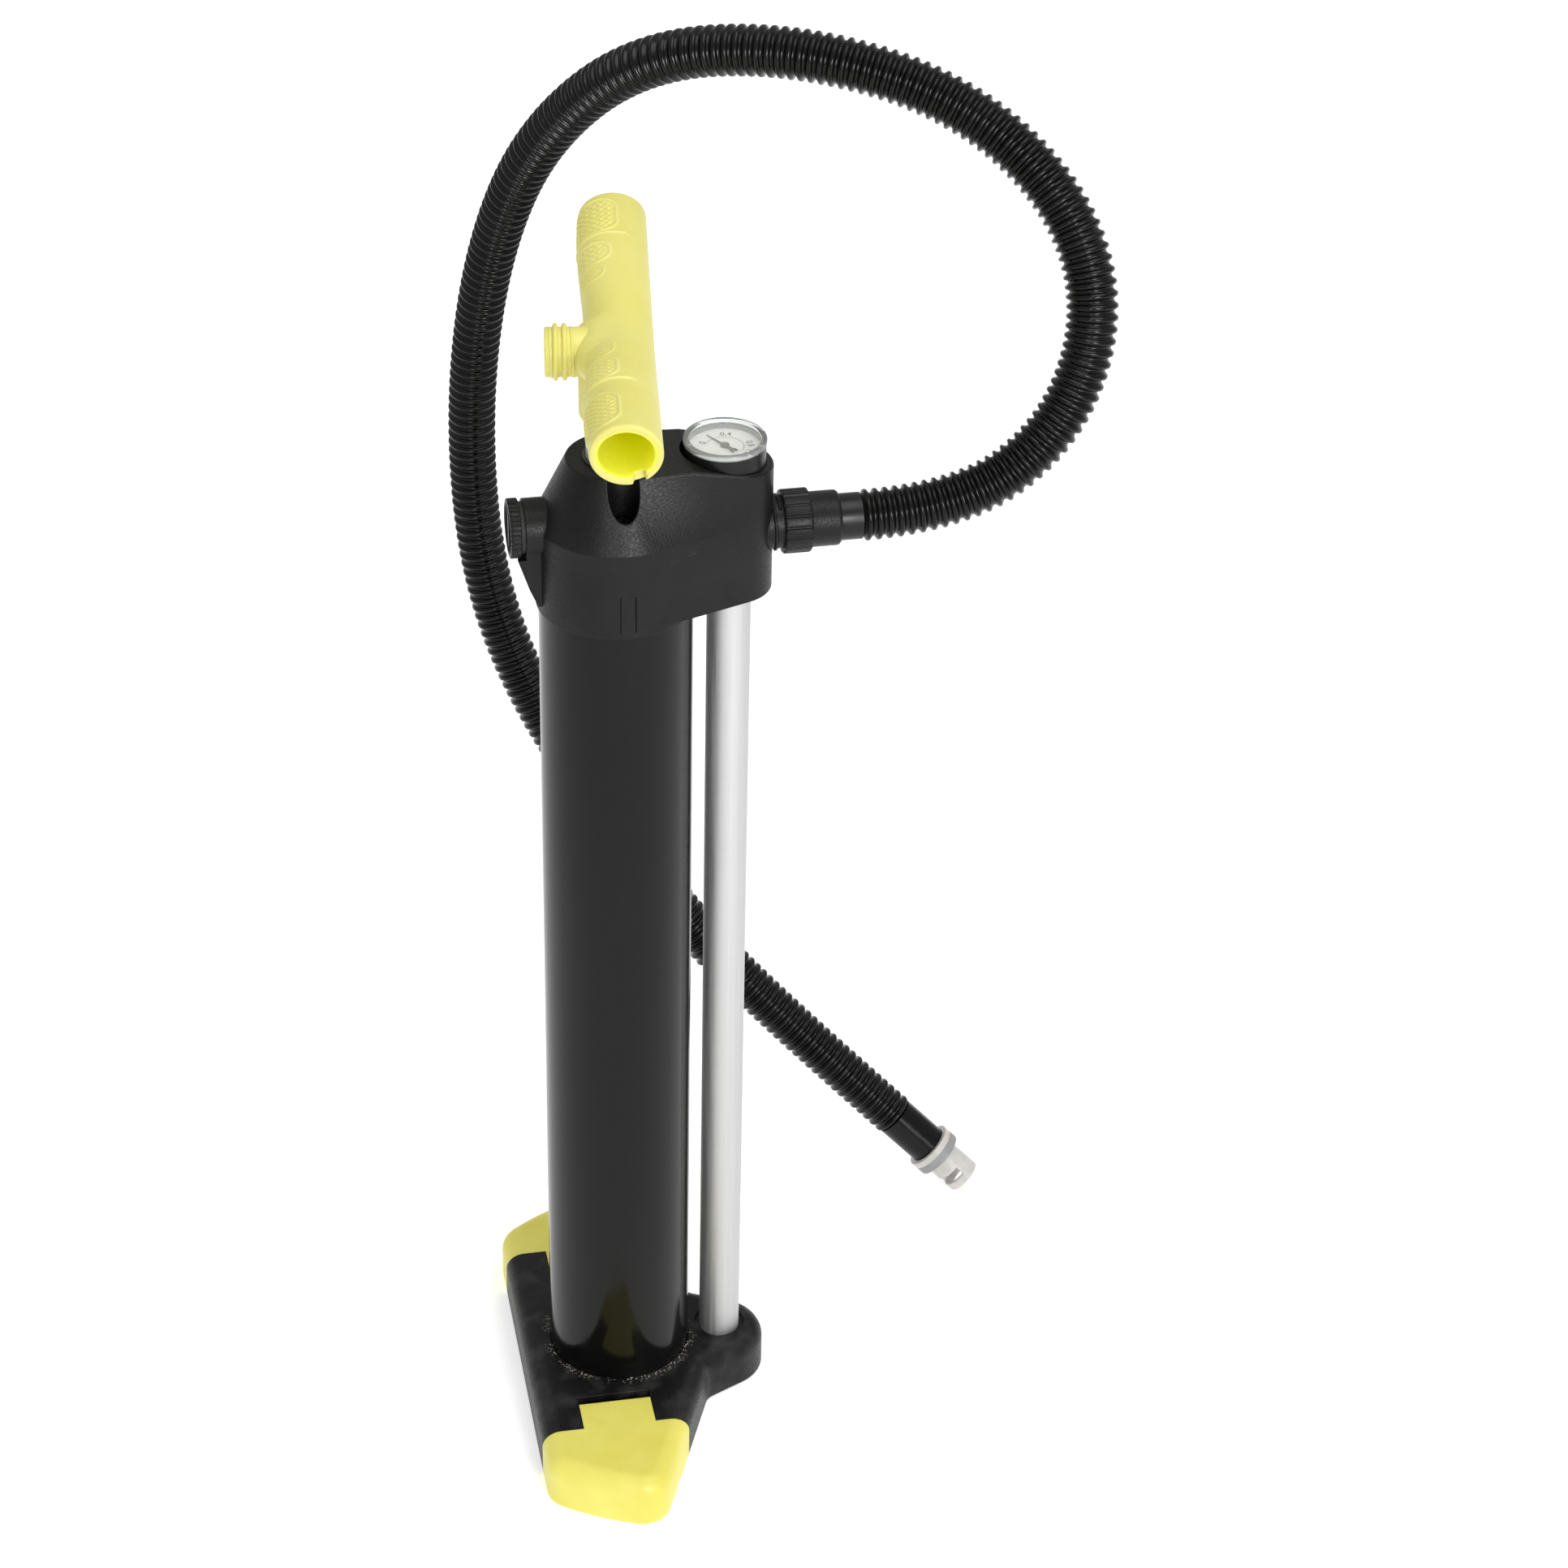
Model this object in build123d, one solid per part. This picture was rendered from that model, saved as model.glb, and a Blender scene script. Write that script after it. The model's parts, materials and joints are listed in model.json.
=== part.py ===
from build123d import *
import math
import os

os.makedirs("parts", exist_ok=True)

# Double action hand pump, millimetres. Origin on the barrel axis at the floor, +Z up,
# +X towards the side tube and the hose outlet, -Y towards the front foot cap.

# ---- fits -----------------------------------------------------------------------------
RUN = 0.05            # radial clearance of a running fit
SEAT = 0.1            # radial clearance of pieces that are assembled once
CAP_GAP = 0.2         # clearance between a foot cap and the tongue inside it

# ---- base -----------------------------------------------------------------------------
BASE_HEIGHT = 30.0
BASE_SIDE_X = -56.0   # straight side
NOSE_SIDE_Y = 102.8   # where the straight side meets the slanted nose
NOSE_TIP_X = 5.2
NOSE_TIP_Y = 133.3
NOSE_BOW = 3.6        # the slanted nose edge bulges this far
FLANK_X = 46.8        # where the slanted flank meets the web of the side tube lobe
FLANK_Y = 33.7
NOSE_RADIUS = 16.0
WEB_RADIUS = 10.0
LOBE_RADIUS = 25.3
BASE_EDGE = 10.5      # rounding of the upper edge
BASE_FOOT_EDGE = 2.0  # rounding of the lower edge
CAP_SEAM_Y = 78.0
CAP_WALL = 4.0
CAP_TOP = 7.0         # thickness of the cap over the tongue
CAP_FLOOR = 3.0
TONGUE_REACH = 30.0
TAB_X = -11.6
TAB_WIDTH = 41.0
TAB_LENGTH = 20.0
TAB_THICK = 5.0
TAB_SIDE_GAP = 0.4
SLOT_END_GAP = 6.0
SLOT_DEPTH = 8.0
RIB = 2.6             # ribs and walls on the underside
POCKET_WALL = 4.0
POCKET_ROOF = 6.0
DRUM_WALL = 5.0       # wall round the barrel socket
LEDGE_Z = 12.0        # the barrel stands on this ledge
VALVE_WEB = 3.0
DUCT_BARREL_R = 26.0
DUCT_TUBE_R = 8.0
PLATE_THICK = 2.5
PLATE_MARGIN = 9.0
BASE_SCREW_R = 1.5
BASE_SCREW_HEAD_R = 2.8
BASE_SCREW_LENGTH = 7.0

# ---- tubes ----------------------------------------------------------------------------
BARREL_R = 40.0
BARREL_WALL = 2.0
BARREL_TOP = 574.0
SIDE_TUBE_X = 59.0
SIDE_TUBE_R = 11.5
SIDE_TUBE_WALL = 1.5
SIDE_TUBE_FOOT = 14.0
SIDE_TUBE_TOP = 556.0
TUBE_RING_R = 14.4    # shallow ring round the foot of the side tube
TUBE_RING_DEPTH = 1.5
SEAL_R = 1.1          # half the section of the square rings
FOOT_SEAL_Z = 21.0
HEAD_SEAL_Z = 547.0

# ---- head -----------------------------------------------------------------------------
SKIRT_R = BARREL_R + 1.8
HEAD_LOBE_R = 22.0
SKIRT_BOTTOM = 534.0
SHOULDER_Z = 579.0
HEAD_TOP = 614.0
HEAD_TOP_R = 25.3
SLOPE_START_X = 36.0
SLOPE_ANGLE = 11.3    # fall of the top towards the gauge end, degrees
HEAD_EDGE = 1.5
COLLAR_BOTTOM = 530.6
COLLAR_R = BARREL_R + 1.5
TONGUE_WIDTH = 7.6
TONGUE_TOP = 555.0
TONGUE_SLOT_GAP = 0.3
WELL_Y = 26.4         # screw wells, front and back
WELL_R = 8.2
WELL_FLOOR = 588.0
HEAD_SCREW_R = 2.0
HEAD_SCREW_HEAD_R = 4.0
HEAD_SCREW_HEAD = 3.0
HEAD_SCREW_TIP = 565.0
COVER_FLANGE = 3.0    # flange of the cylinder cover on the end of the barrel
COVER_BOTTOM = 560.0
CHAMBER_HEIGHT = 6.0
CHAMBER_R = BARREL_R - 5.0
CHAMBER_START_X = 10.0
DUCT_WIDTH = 14.0
FLAP = 1.2            # thickness of the rubber valve flaps
PORT_HOLE_R = 2.6
BUSH_R = 17.0
FLAP_R = 27.0         # rubber flap on top of the piston
BUSH_STAND = 0.8      # the bush stands this far above the head

# ---- piston, rod and handle -----------------------------------------------------------
ROD_R = 15.0
ROD_WALL = 2.0
PISTON_BOTTOM = 16.0
PISTON_HEIGHT = 24.0
PISTON_SIDE_GAP = 0.4
SEAL_GROOVE_Z = 9.0   # lower side of the seal groove above the piston's underside
SEAL_HEIGHT = 6.0
SEAL_DEPTH = 4.0
ROD_SPIGOT = 18.0
AIRWAY_R = 9.0
HANDLE_YAW = -7.2     # rest position of the handle about the barrel axis, degrees
HANDLE_Z = 673.0
GRIP_RISE = 5.9       # upsweep of each grip, degrees
GRIP_BLEND = 14.0     # the upsweep starts over this distance from the hub
GRIP_HALF_LENGTH = 126.0
GRIP_OFFSET = 1.9     # the grips lie this far from the rod axis, away from the spigot
GRIP_A = 17.7         # half width and half height of the grip section
GRIP_B = 15.4
WAIST_A = 17.4        # the waist is hollowed on the spigot's side only
WAIST_B = 15.2
GRIP_WALL = 4.3
GRIP_BORE_END = 32.0  # the bores stop this far from the hub
RIM_NOTCH = 6.0
HUB_R = 18.4
HUB_BOTTOM = 637.0
HUB_EDGE = 3.0
ROD_SOCKET = 20.0
SPIGOT_R = 12.4
SPIGOT_ROOT_R = 15.0
SPIGOT_ROOT_END = 20.5
SPIGOT_TIP = 35.0
SPIGOT_BORE_R = 9.8
PIN_R = 2.0

# ---- pressure gauge -------------------------------------------------------------------
GAUGE_X = 56.0
GAUGE_R = 21.0
GAUGE_BOTTOM = 600.0
GAUGE_WALL = 1.5
GAUGE_FLOOR = 3.0
DIAL_Z = 614.5        # face of the dial
DIAL_THICK = 0.8
DIAL_R = 18.6
LENS_R = 21.4
LENS_SEAT = 617.0
LENS_TOP = 620.0
LENS_RIM = 3.0
LENS_DISH = 1.3       # the window lies this far below the rim
WINDOW_THICK = 1.2
NEEDLE_LENGTH = 14.0
NEEDLE_TAIL = 8.4
NEEDLE_REST = 122.0   # direction of the pointer at zero, degrees from +X
NEEDLE_Z = 615.0
NEEDLE_THICK = 0.4
SCOOP = 2.0           # crescent on the inner side of the gauge pocket

# ---- selector port and cap ------------------------------------------------------------
PORT_Z = 576.4
PORT_BOSS_R = 15.0
PORT_BOSS_END = -47.5
PORT_THREAD_R = 11.4
PORT_THREAD_LENGTH = 6.2
GASKET_THICK = 2.3
GASKET_WALL = 2.0
CAP_R = 15.4
CAP_THICK = 5.5
CAP_DISH = 1.6
CAP_GROOVES = 12
GUSSET_WIDTH = 24.0
GUSSET_BROW = (-51.8, 563.6)  # its upper outer corner, beside the cap
GUSSET_KNEE = (-46.1, 546.2)
CAP_ROOM = 0.5        # clearance between the cap and the gusset

# ---- hose outlet ----------------------------------------------------------------------
OUTLET_Z = 568.0
OUTLET_BOSS_R = 13.75
OUTLET_BOSS_END = 97.0
OUTLET_BORE_R = 9.0
OUTLET_SEAL = 1.0
NECK_R = 12.2
NECK_WALL = 2.4
NECK_FLANGE_R = 13.5
NECK_FLANGE = 1.5
NECK_END = 127.0
SLIP_RING = 1.0
NUT_START = 85.6
NUT_RING_END = 99.8
NUT_RING_R = 16.3
NUT_RIBS = 9
NUT_RIB_HEIGHT = 0.7
NUT_SLEEVE_R = 14.4
NUT_SLEEVE_END = 115.5

# ---- hose and plug --------------------------------------------------------------------
HOSE_R = 13.5
HOSE_WALL = 2.3
HOSE_POINTS = [
    (127, 0, 568), (180, 0, 568), (232.5, 4, 605.5), (253, 15, 667.5), (238, 43, 721),
    (189, 84, 760.5), (110.5, 120, 776), (38.5, 160, 759), (-9.5, 208, 695.5),
    (-34, 243, 610.5), (-45, 259, 505), (-40.5, 257, 402), (-17.5, 238, 324),
    (30.5, 214, 243), (75, 195, 172), (134.5, 169.5, 108.5), (194.5, 146.3, 50.5),
]
CUFF_R = 12.4
CUFF_LENGTH = 29.6
PLUG_FLANGE_R = 15.2
PLUG_FLANGE = 4.0
WASHER_R = 15.2
WASHER_THICK = 5.4
PLUG_R = 10.9
PLUG_WALL = 2.0
PLUG_LENGTH = 21.5
PLUG_LIP = 5.0        # solid ring between the slots and the tip
PLUG_SLOT = 6.0
PLUG_SLOT_ARCS = ((-8, 112), (150, 250))

PISTON_TOP = PISTON_BOTTOM + PISTON_HEIGHT
BARREL_BORE_R = BARREL_R - BARREL_WALL
DUCT_ROOF = LEDGE_Z - VALVE_WEB
CHAMBER_FLOOR = BARREL_TOP + COVER_FLANGE
ROD_BORE_R = ROD_R - ROD_WALL


def rod_z(radius, low, high, x=0.0, y=0.0):
    """Solid cylinder along Z from height low to height high."""
    return Pos(x, y, (low + high) / 2) * Cylinder(radius, high - low)


def tube_z(outer, inner, low, high, x=0.0, y=0.0):
    """Hollow cylinder along Z."""
    return rod_z(outer, low, high, x, y) - rod_z(inner, low, high, x, y)


def rod_x(radius, start, end, z, y=0.0):
    """Solid cylinder along X from start to end."""
    return Pos((start + end) / 2, y, z) * Rot(0, 90, 0) * Cylinder(radius, abs(end - start))


def tube_x(outer, inner, start, end, z):
    """Hollow cylinder along X."""
    return rod_x(outer, start, end, z) - rod_x(inner, start, end, z)


def block(x, y, z):
    """Box between two limits on each axis."""
    centre = Pos(sum(x) / 2, sum(y) / 2, sum(z) / 2)
    return centre * Box(x[1] - x[0], y[1] - y[0], z[1] - z[0])


def ring_seal(inner, z, x=0.0):
    """Square ring round a vertical axis, centred at height z."""
    return tube_z(inner + 2 * SEAL_R, inner, z - SEAL_R, z + SEAL_R, x)


def pear(big_r, small_x, small_r):
    """Plan shape that wraps a circle on the barrel axis and a smaller one at small_x."""
    lean = math.asin((big_r - small_r) / small_x)
    corners = [
        (big_r * math.sin(lean), big_r * math.cos(lean)),
        (small_x + small_r * math.sin(lean), small_r * math.cos(lean)),
    ]
    top, right = corners
    upper = Line(top, right)
    nose = ThreePointArc(right, (small_x + small_r, 0), (right[0], -right[1]))
    lower = Line((right[0], -right[1]), (top[0], -top[1]))
    back = ThreePointArc((top[0], -top[1]), (-big_r, 0), top)
    return make_face(Wire([upper, nose, lower, back]))


def slab(face, low, high):
    """Plan shape raised between two heights."""
    return Pos(0, 0, low) * extrude(face, high - low)


# ---- base -----------------------------------------------------------------------------
def base_outline(inset=0.0):
    """Plan of the base with its rounded noses and the lobe round the side tube."""
    width, rise = NOSE_TIP_X - BASE_SIDE_X, NOSE_TIP_Y - NOSE_SIDE_Y
    bow = NOSE_BOW / math.hypot(width, rise)
    crown = ((BASE_SIDE_X + NOSE_TIP_X) / 2 - rise * bow, (NOSE_SIDE_Y + NOSE_TIP_Y) / 2 + width * bow)
    back = ThreePointArc((BASE_SIDE_X, NOSE_SIDE_Y), crown, (NOSE_TIP_X, NOSE_TIP_Y))
    front = mirror(back, about=Plane.XZ)
    side = Line((BASE_SIDE_X, -NOSE_SIDE_Y), (BASE_SIDE_X, NOSE_SIDE_Y))
    flank = Polyline((NOSE_TIP_X, NOSE_TIP_Y), (FLANK_X, FLANK_Y), (FLANK_X, -FLANK_Y),
                     (NOSE_TIP_X, -NOSE_TIP_Y))
    body = make_face([side, back, flank, front])
    reach = math.hypot(SIDE_TUBE_X - FLANK_X, FLANK_Y)
    bearing = math.atan2(-FLANK_Y, FLANK_X - SIDE_TUBE_X) + math.acos(LOBE_RADIUS / reach)
    touch_x = SIDE_TUBE_X + LOBE_RADIUS * math.cos(bearing)
    touch_y = LOBE_RADIUS * math.sin(bearing)
    web = make_face(Polyline(
        (0, -FLANK_Y), (FLANK_X, -FLANK_Y), (touch_x, touch_y), (touch_x, -touch_y),
        (FLANK_X, FLANK_Y), (0, FLANK_Y), close=True))
    plan = body + web + Pos(SIDE_TUBE_X, 0) * Circle(LOBE_RADIUS)
    noses = [v for v in plan.vertices() if abs(v.Y) > NOSE_SIDE_Y - 1]
    plan = fillet(noses, NOSE_RADIUS)
    webs = [v for v in plan.vertices() if math.hypot(v.X - FLANK_X, abs(v.Y) - FLANK_Y) < 0.5]
    plan = fillet(webs, WEB_RADIUS)
    return offset(plan, amount=-inset) if inset else plan


def base_body():
    """Outer form of the base before it is parted into housing and foot caps."""
    body = extrude(base_outline(), BASE_HEIGHT)
    body = fillet(body.faces().sort_by(Axis.Z)[-1].edges(), BASE_EDGE)
    return fillet(body.faces().sort_by(Axis.Z)[0].edges(), BASE_FOOT_EDGE)


def beyond(side, start, reach=200.0):
    """Everything further out than start on the front (-1) or back (+1) side."""
    middle = side * (start + reach / 2)
    return Pos(0, middle, BASE_HEIGHT / 2) * Box(400, reach, 2 * BASE_HEIGHT)


def foot_cap(body, side):
    """Moulded cap over a nose, with the tab that lies in the housing's slot."""
    shell = body & beyond(side, CAP_SEAM_Y)
    pocket = slab(base_outline(CAP_WALL), CAP_FLOOR, BASE_HEIGHT - CAP_TOP)
    pocket &= beyond(side, CAP_SEAM_Y - 1, TONGUE_REACH + 2)
    tab = Pos(TAB_X, side * (CAP_SEAM_Y - TAB_LENGTH / 2), BASE_HEIGHT - TAB_THICK / 2)
    return shell - pocket + tab * Box(TAB_WIDTH, TAB_LENGTH, TAB_THICK)


def duct(grow, low, high):
    """Air duct from under the barrel to the side tube, or a larger copy of it."""
    return slab(pear(DUCT_BARREL_R + grow, SIDE_TUBE_X, DUCT_TUBE_R + grow), low, high)


def plate_screw_places():
    """Screws of the bottom plate: round the barrel end and beyond the side tube."""
    middle = DUCT_BARREL_R + PLATE_MARGIN / 2
    places = [(middle * math.cos(math.radians(t)), middle * math.sin(math.radians(t)))
              for t in (100, 180, 260)]
    return places + [(SIDE_TUBE_X + DUCT_TUBE_R + PLATE_MARGIN / 2, 0)]


def base_housing(body):
    """Ribbed moulding with the sockets of both tubes and the air duct under them."""
    part = body
    for side in (-1, 1):
        part -= beyond(side, CAP_SEAM_Y)
        tongue = slab(base_outline(CAP_WALL + CAP_GAP), CAP_FLOOR + CAP_GAP,
                      BASE_HEIGHT - CAP_TOP - CAP_GAP)
        part += tongue & beyond(side, CAP_SEAM_Y, TONGUE_REACH)
        slot_length = TAB_LENGTH + SLOT_END_GAP
        slot = Pos(TAB_X, side * (CAP_SEAM_Y - slot_length / 2), BASE_HEIGHT - SLOT_DEPTH / 2)
        part -= slot * Box(TAB_WIDTH + 2 * TAB_SIDE_GAP, slot_length, SLOT_DEPTH)
    pockets = slab(base_outline(POCKET_WALL), 0, BASE_HEIGHT - SLOT_DEPTH - RIB)
    pockets -= beyond(-1, CAP_SEAM_Y - RIB) + beyond(1, CAP_SEAM_Y - RIB)
    pockets -= rod_z(BARREL_R + DRUM_WALL, 0, BASE_HEIGHT)
    pockets -= rod_z(SIDE_TUBE_R + DRUM_WALL, 0, BASE_HEIGHT, SIDE_TUBE_X)
    pockets -= duct(PLATE_MARGIN + RIB, 0, BASE_HEIGHT)
    pockets -= block((TAB_X - RIB / 2, TAB_X + RIB / 2), (-200, 200), (0, BASE_HEIGHT))
    part -= pockets
    part -= rod_z(BARREL_R + SEAT, LEDGE_Z, BASE_HEIGHT)
    part -= rod_z(SIDE_TUBE_R + SEAT, SIDE_TUBE_FOOT, BASE_HEIGHT, SIDE_TUBE_X)
    part -= rod_z(TUBE_RING_R, BASE_HEIGHT - TUBE_RING_DEPTH, BASE_HEIGHT, SIDE_TUBE_X)
    part -= rod_z(DUCT_TUBE_R, 0, SIDE_TUBE_FOOT, SIDE_TUBE_X)
    part -= duct(0, 0, DUCT_ROOF)
    part -= duct(PLATE_MARGIN + SEAT, 0, PLATE_THICK)
    for radius, x in ((BARREL_R, 0), (SIDE_TUBE_R, SIDE_TUBE_X)):
        outer = radius + 2 * SEAL_R + SEAT
        part -= tube_z(outer, radius, FOOT_SEAL_Z - SEAL_R - SEAT, FOOT_SEAL_Z + SEAL_R + SEAT, x)
    for spot in PolarLocations(11, 6):
        part -= spot * rod_z(PORT_HOLE_R, 0, LEDGE_Z)
    part -= rod_z(2 + SEAT, 0, LEDGE_Z)
    for x, y in plate_screw_places():
        part -= rod_z(BASE_SCREW_R, 0, BASE_SCREW_LENGTH + 1, x, y)
    return part


def base_bottom_plate():
    plate = duct(PLATE_MARGIN, 0, PLATE_THICK)
    for x, y in plate_screw_places():
        plate -= rod_z(BASE_SCREW_R + SEAT, 0, PLATE_THICK, x, y)
        plate -= rod_z(BASE_SCREW_HEAD_R + SEAT, 0, PLATE_THICK / 2, x, y)
    return plate


def base_screws():
    screws = []
    for x, y in plate_screw_places():
        head = rod_z(BASE_SCREW_HEAD_R, SEAT, PLATE_THICK / 2, x, y)
        screws.append(head + rod_z(BASE_SCREW_R - SEAT, SEAT, BASE_SCREW_LENGTH, x, y))
    return Compound(children=screws)


def base_check_valve():
    """Rubber mushroom flap that shuts the holes under the barrel."""
    flap = rod_z(15.5, DUCT_ROOF - FLAP, DUCT_ROOF)
    return flap + rod_z(2, DUCT_ROOF, LEDGE_Z) + rod_z(3, LEDGE_Z, LEDGE_Z + FLAP)


# ---- head -----------------------------------------------------------------------------
def head_form():
    """Outside of the head: straight skirt, tapered shoulder and sloping gauge end."""
    skirt = slab(pear(SKIRT_R, SIDE_TUBE_X, HEAD_LOBE_R), SKIRT_BOTTOM, SHOULDER_Z)
    shoulder = loft([
        Pos(0, 0, SHOULDER_Z) * pear(SKIRT_R, SIDE_TUBE_X, HEAD_LOBE_R),
        Pos(0, 0, HEAD_TOP) * pear(HEAD_TOP_R, SIDE_TUBE_X, HEAD_LOBE_R)], ruled=True)
    form = skirt + shoulder
    slope = Pos(SLOPE_START_X, 0, HEAD_TOP) * Rot(0, SLOPE_ANGLE, 0) * Pos(50, 0, 10)
    form -= slope * Box(100, 100, 20)
    rim = [edge for edge in form.edges() if edge.bounding_box().min.Z > SHOULDER_Z + 1]
    return fillet(rim, HEAD_EDGE)


def gusset():
    """Fairing under the selector port down to the edge of the skirt."""
    foot = SKIRT_BOTTOM + 2
    side = make_face(Polyline(
        (-SKIRT_R + 3, 0, foot), (-SKIRT_R, 0, foot), (GUSSET_KNEE[0], 0, GUSSET_KNEE[1]),
        (GUSSET_BROW[0], 0, GUSSET_BROW[1]), (PORT_BOSS_END, 0, GUSSET_BROW[1]),
        (PORT_BOSS_END, 0, PORT_Z), (-SKIRT_R + 3, 0, PORT_Z), close=True))
    fairing = Pos(0, GUSSET_WIDTH / 2, 0) * extrude(side, GUSSET_WIDTH, dir=(0, -1, 0))
    return fairing - rod_x(CAP_R + CAP_ROOM, GUSSET_BROW[0] - 1, PORT_BOSS_END, PORT_Z)


def head_housing():
    part = head_form()
    part += rod_x(PORT_BOSS_R, -30, PORT_BOSS_END, PORT_Z) + gusset()
    part += rod_x(OUTLET_BOSS_R, SIDE_TUBE_X, OUTLET_BOSS_END, OUTLET_Z)
    # barrel socket, rod passage and the valve chamber over the cylinder cover
    part -= rod_z(BARREL_R + SEAT, COLLAR_BOTTOM, CHAMBER_FLOOR)
    part -= rod_z(BUSH_R + SEAT, CHAMBER_FLOOR, HEAD_TOP + 1)
    chamber = tube_z(CHAMBER_R, BUSH_R + 3, CHAMBER_FLOOR, CHAMBER_FLOOR + CHAMBER_HEIGHT)
    chamber &= block((CHAMBER_START_X, 2 * BARREL_R), (-BARREL_R, BARREL_R),
                     (CHAMBER_FLOOR, HEAD_TOP))
    part -= chamber
    half = DUCT_WIDTH / 2
    part -= block((BARREL_BORE_R - 8, SIDE_TUBE_X), (-half, half),
                  (CHAMBER_FLOOR + 1, CHAMBER_FLOOR + CHAMBER_HEIGHT))
    part -= rod_z(half, SIDE_TUBE_TOP, CHAMBER_FLOOR + CHAMBER_HEIGHT, SIDE_TUBE_X)
    part -= rod_x(OUTLET_BORE_R, SIDE_TUBE_X, OUTLET_BOSS_END, OUTLET_Z)
    # side tube socket with its seal groove
    part -= rod_z(SIDE_TUBE_R + SEAT, SKIRT_BOTTOM, SIDE_TUBE_TOP, SIDE_TUBE_X)
    part -= tube_z(SIDE_TUBE_R + 2 * SEAL_R + SEAT, SIDE_TUBE_R, HEAD_SEAL_Z - SEAL_R - SEAT,
                   HEAD_SEAL_Z + SEAL_R + SEAT, SIDE_TUBE_X)
    # gauge pocket with its crescent, and the hole of the gauge stem
    for x in (GAUGE_X, GAUGE_X - SCOOP):
        part -= rod_z(GAUGE_R + SEAT, GAUGE_BOTTOM, HEAD_TOP + 1, x)
    part -= rod_z(5 + SEAT, GAUGE_BOTTOM - 12, GAUGE_BOTTOM, GAUGE_X)
    part -= rod_z(1.5, CHAMBER_FLOOR, GAUGE_BOTTOM, GAUGE_X)
    for side in (-1, 1):
        part -= rod_z(WELL_R, WELL_FLOOR, HEAD_TOP + 1, 0, side * WELL_Y)
        part -= rod_z(HEAD_SCREW_R + SEAT, CHAMBER_FLOOR, WELL_FLOOR, 0, side * WELL_Y)
        half = TONGUE_WIDTH / 2 + TONGUE_SLOT_GAP
        wall = (BARREL_R - 2, SKIRT_R + 2) if side > 0 else (-SKIRT_R - 2, -BARREL_R + 2)
        part -= block((-half, half), wall, (COLLAR_BOTTOM, TONGUE_TOP + TONGUE_SLOT_GAP))
    part -= rod_x(PORT_THREAD_R, PORT_BOSS_END, PORT_BOSS_END + PORT_THREAD_LENGTH, PORT_Z)
    return part


def barrel_collar():
    """Ring under the head with a latch tongue front and back."""
    ring = tube_z(COLLAR_R, BARREL_R + SEAT, COLLAR_BOTTOM, SKIRT_BOTTOM)
    band = tube_z(COLLAR_R, BARREL_R + SEAT, SKIRT_BOTTOM, TONGUE_TOP)
    half = TONGUE_WIDTH / 2
    wide = 2 * COLLAR_R
    return ring + (band & block((-half, half), (-wide, wide), (SKIRT_BOTTOM, TONGUE_TOP)))


def cylinder_cover():
    """Inner cover that closes the barrel and carries the rod bush and the valve ports."""
    cover = rod_z(BARREL_R, BARREL_TOP, CHAMBER_FLOOR)
    cover += rod_z(BARREL_BORE_R - SEAT, COVER_BOTTOM, BARREL_TOP)
    cover -= rod_z(BUSH_R + SEAT, COVER_BOTTOM, CHAMBER_FLOOR)
    groove_z = (COVER_BOTTOM + BARREL_TOP) / 2
    inner = BARREL_BORE_R - 2 * SEAL_R - SEAT
    cover -= tube_z(BARREL_BORE_R, inner, groove_z - SEAL_R - SEAT, groove_z + SEAL_R + SEAT)
    for spot in PolarLocations(CHAMBER_R - 7, 5, start_angle=-44, angular_range=110):
        cover -= spot * rod_z(PORT_HOLE_R, COVER_BOTTOM, CHAMBER_FLOOR)
    for side in (-1, 1):
        cover -= rod_z(HEAD_SCREW_R, HEAD_SCREW_TIP - 1, CHAMBER_FLOOR, 0, side * WELL_Y)
    return cover


def head_check_valve():
    """Crescent rubber flap over the ports of the cylinder cover."""
    inner = BUSH_R + 3 + 2 * SEAT
    flap = tube_z(CHAMBER_R - 2 * SEAT, inner, CHAMBER_FLOOR, CHAMBER_FLOOR + FLAP)
    return flap & block((CHAMBER_START_X + 1, 2 * BARREL_R), (-BARREL_R, BARREL_R),
                        (CHAMBER_FLOOR, HEAD_TOP))


def head_screws():
    screws = []
    for side in (-1, 1):
        y = side * WELL_Y
        head = rod_z(HEAD_SCREW_HEAD_R, WELL_FLOOR, WELL_FLOOR + HEAD_SCREW_HEAD, 0, y)
        shank = rod_z(HEAD_SCREW_R - SEAT / 2, HEAD_SCREW_TIP, WELL_FLOOR, 0, y)
        cross_low = WELL_FLOOR + HEAD_SCREW_HEAD / 2
        cross = block((-2.4, 2.4), (y - 0.5, y + 0.5), (cross_low, WELL_FLOOR + HEAD_SCREW_HEAD))
        cross += block((-0.5, 0.5), (y - 2.4, y + 2.4), (cross_low, WELL_FLOOR + HEAD_SCREW_HEAD))
        screws.append(head + shank - cross)
    return Compound(children=screws)


def rod_bush():
    top = HEAD_TOP + BUSH_STAND
    bush = tube_z(BUSH_R, ROD_R + RUN, COVER_BOTTOM, top)
    return bush - rod_z(ROD_R + 1.3, COVER_BOTTOM, COVER_BOTTOM + 5)


def rod_seal():
    """Lip seal in the mouth of the bush, with its groove towards the pressure side."""
    seal = tube_z(ROD_R + 1.25, ROD_R + RUN, COVER_BOTTOM, COVER_BOTTOM + 4.9)
    return seal - tube_z(ROD_R + 0.9, ROD_R + 0.5, COVER_BOTTOM, COVER_BOTTOM + 2.5)


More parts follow.
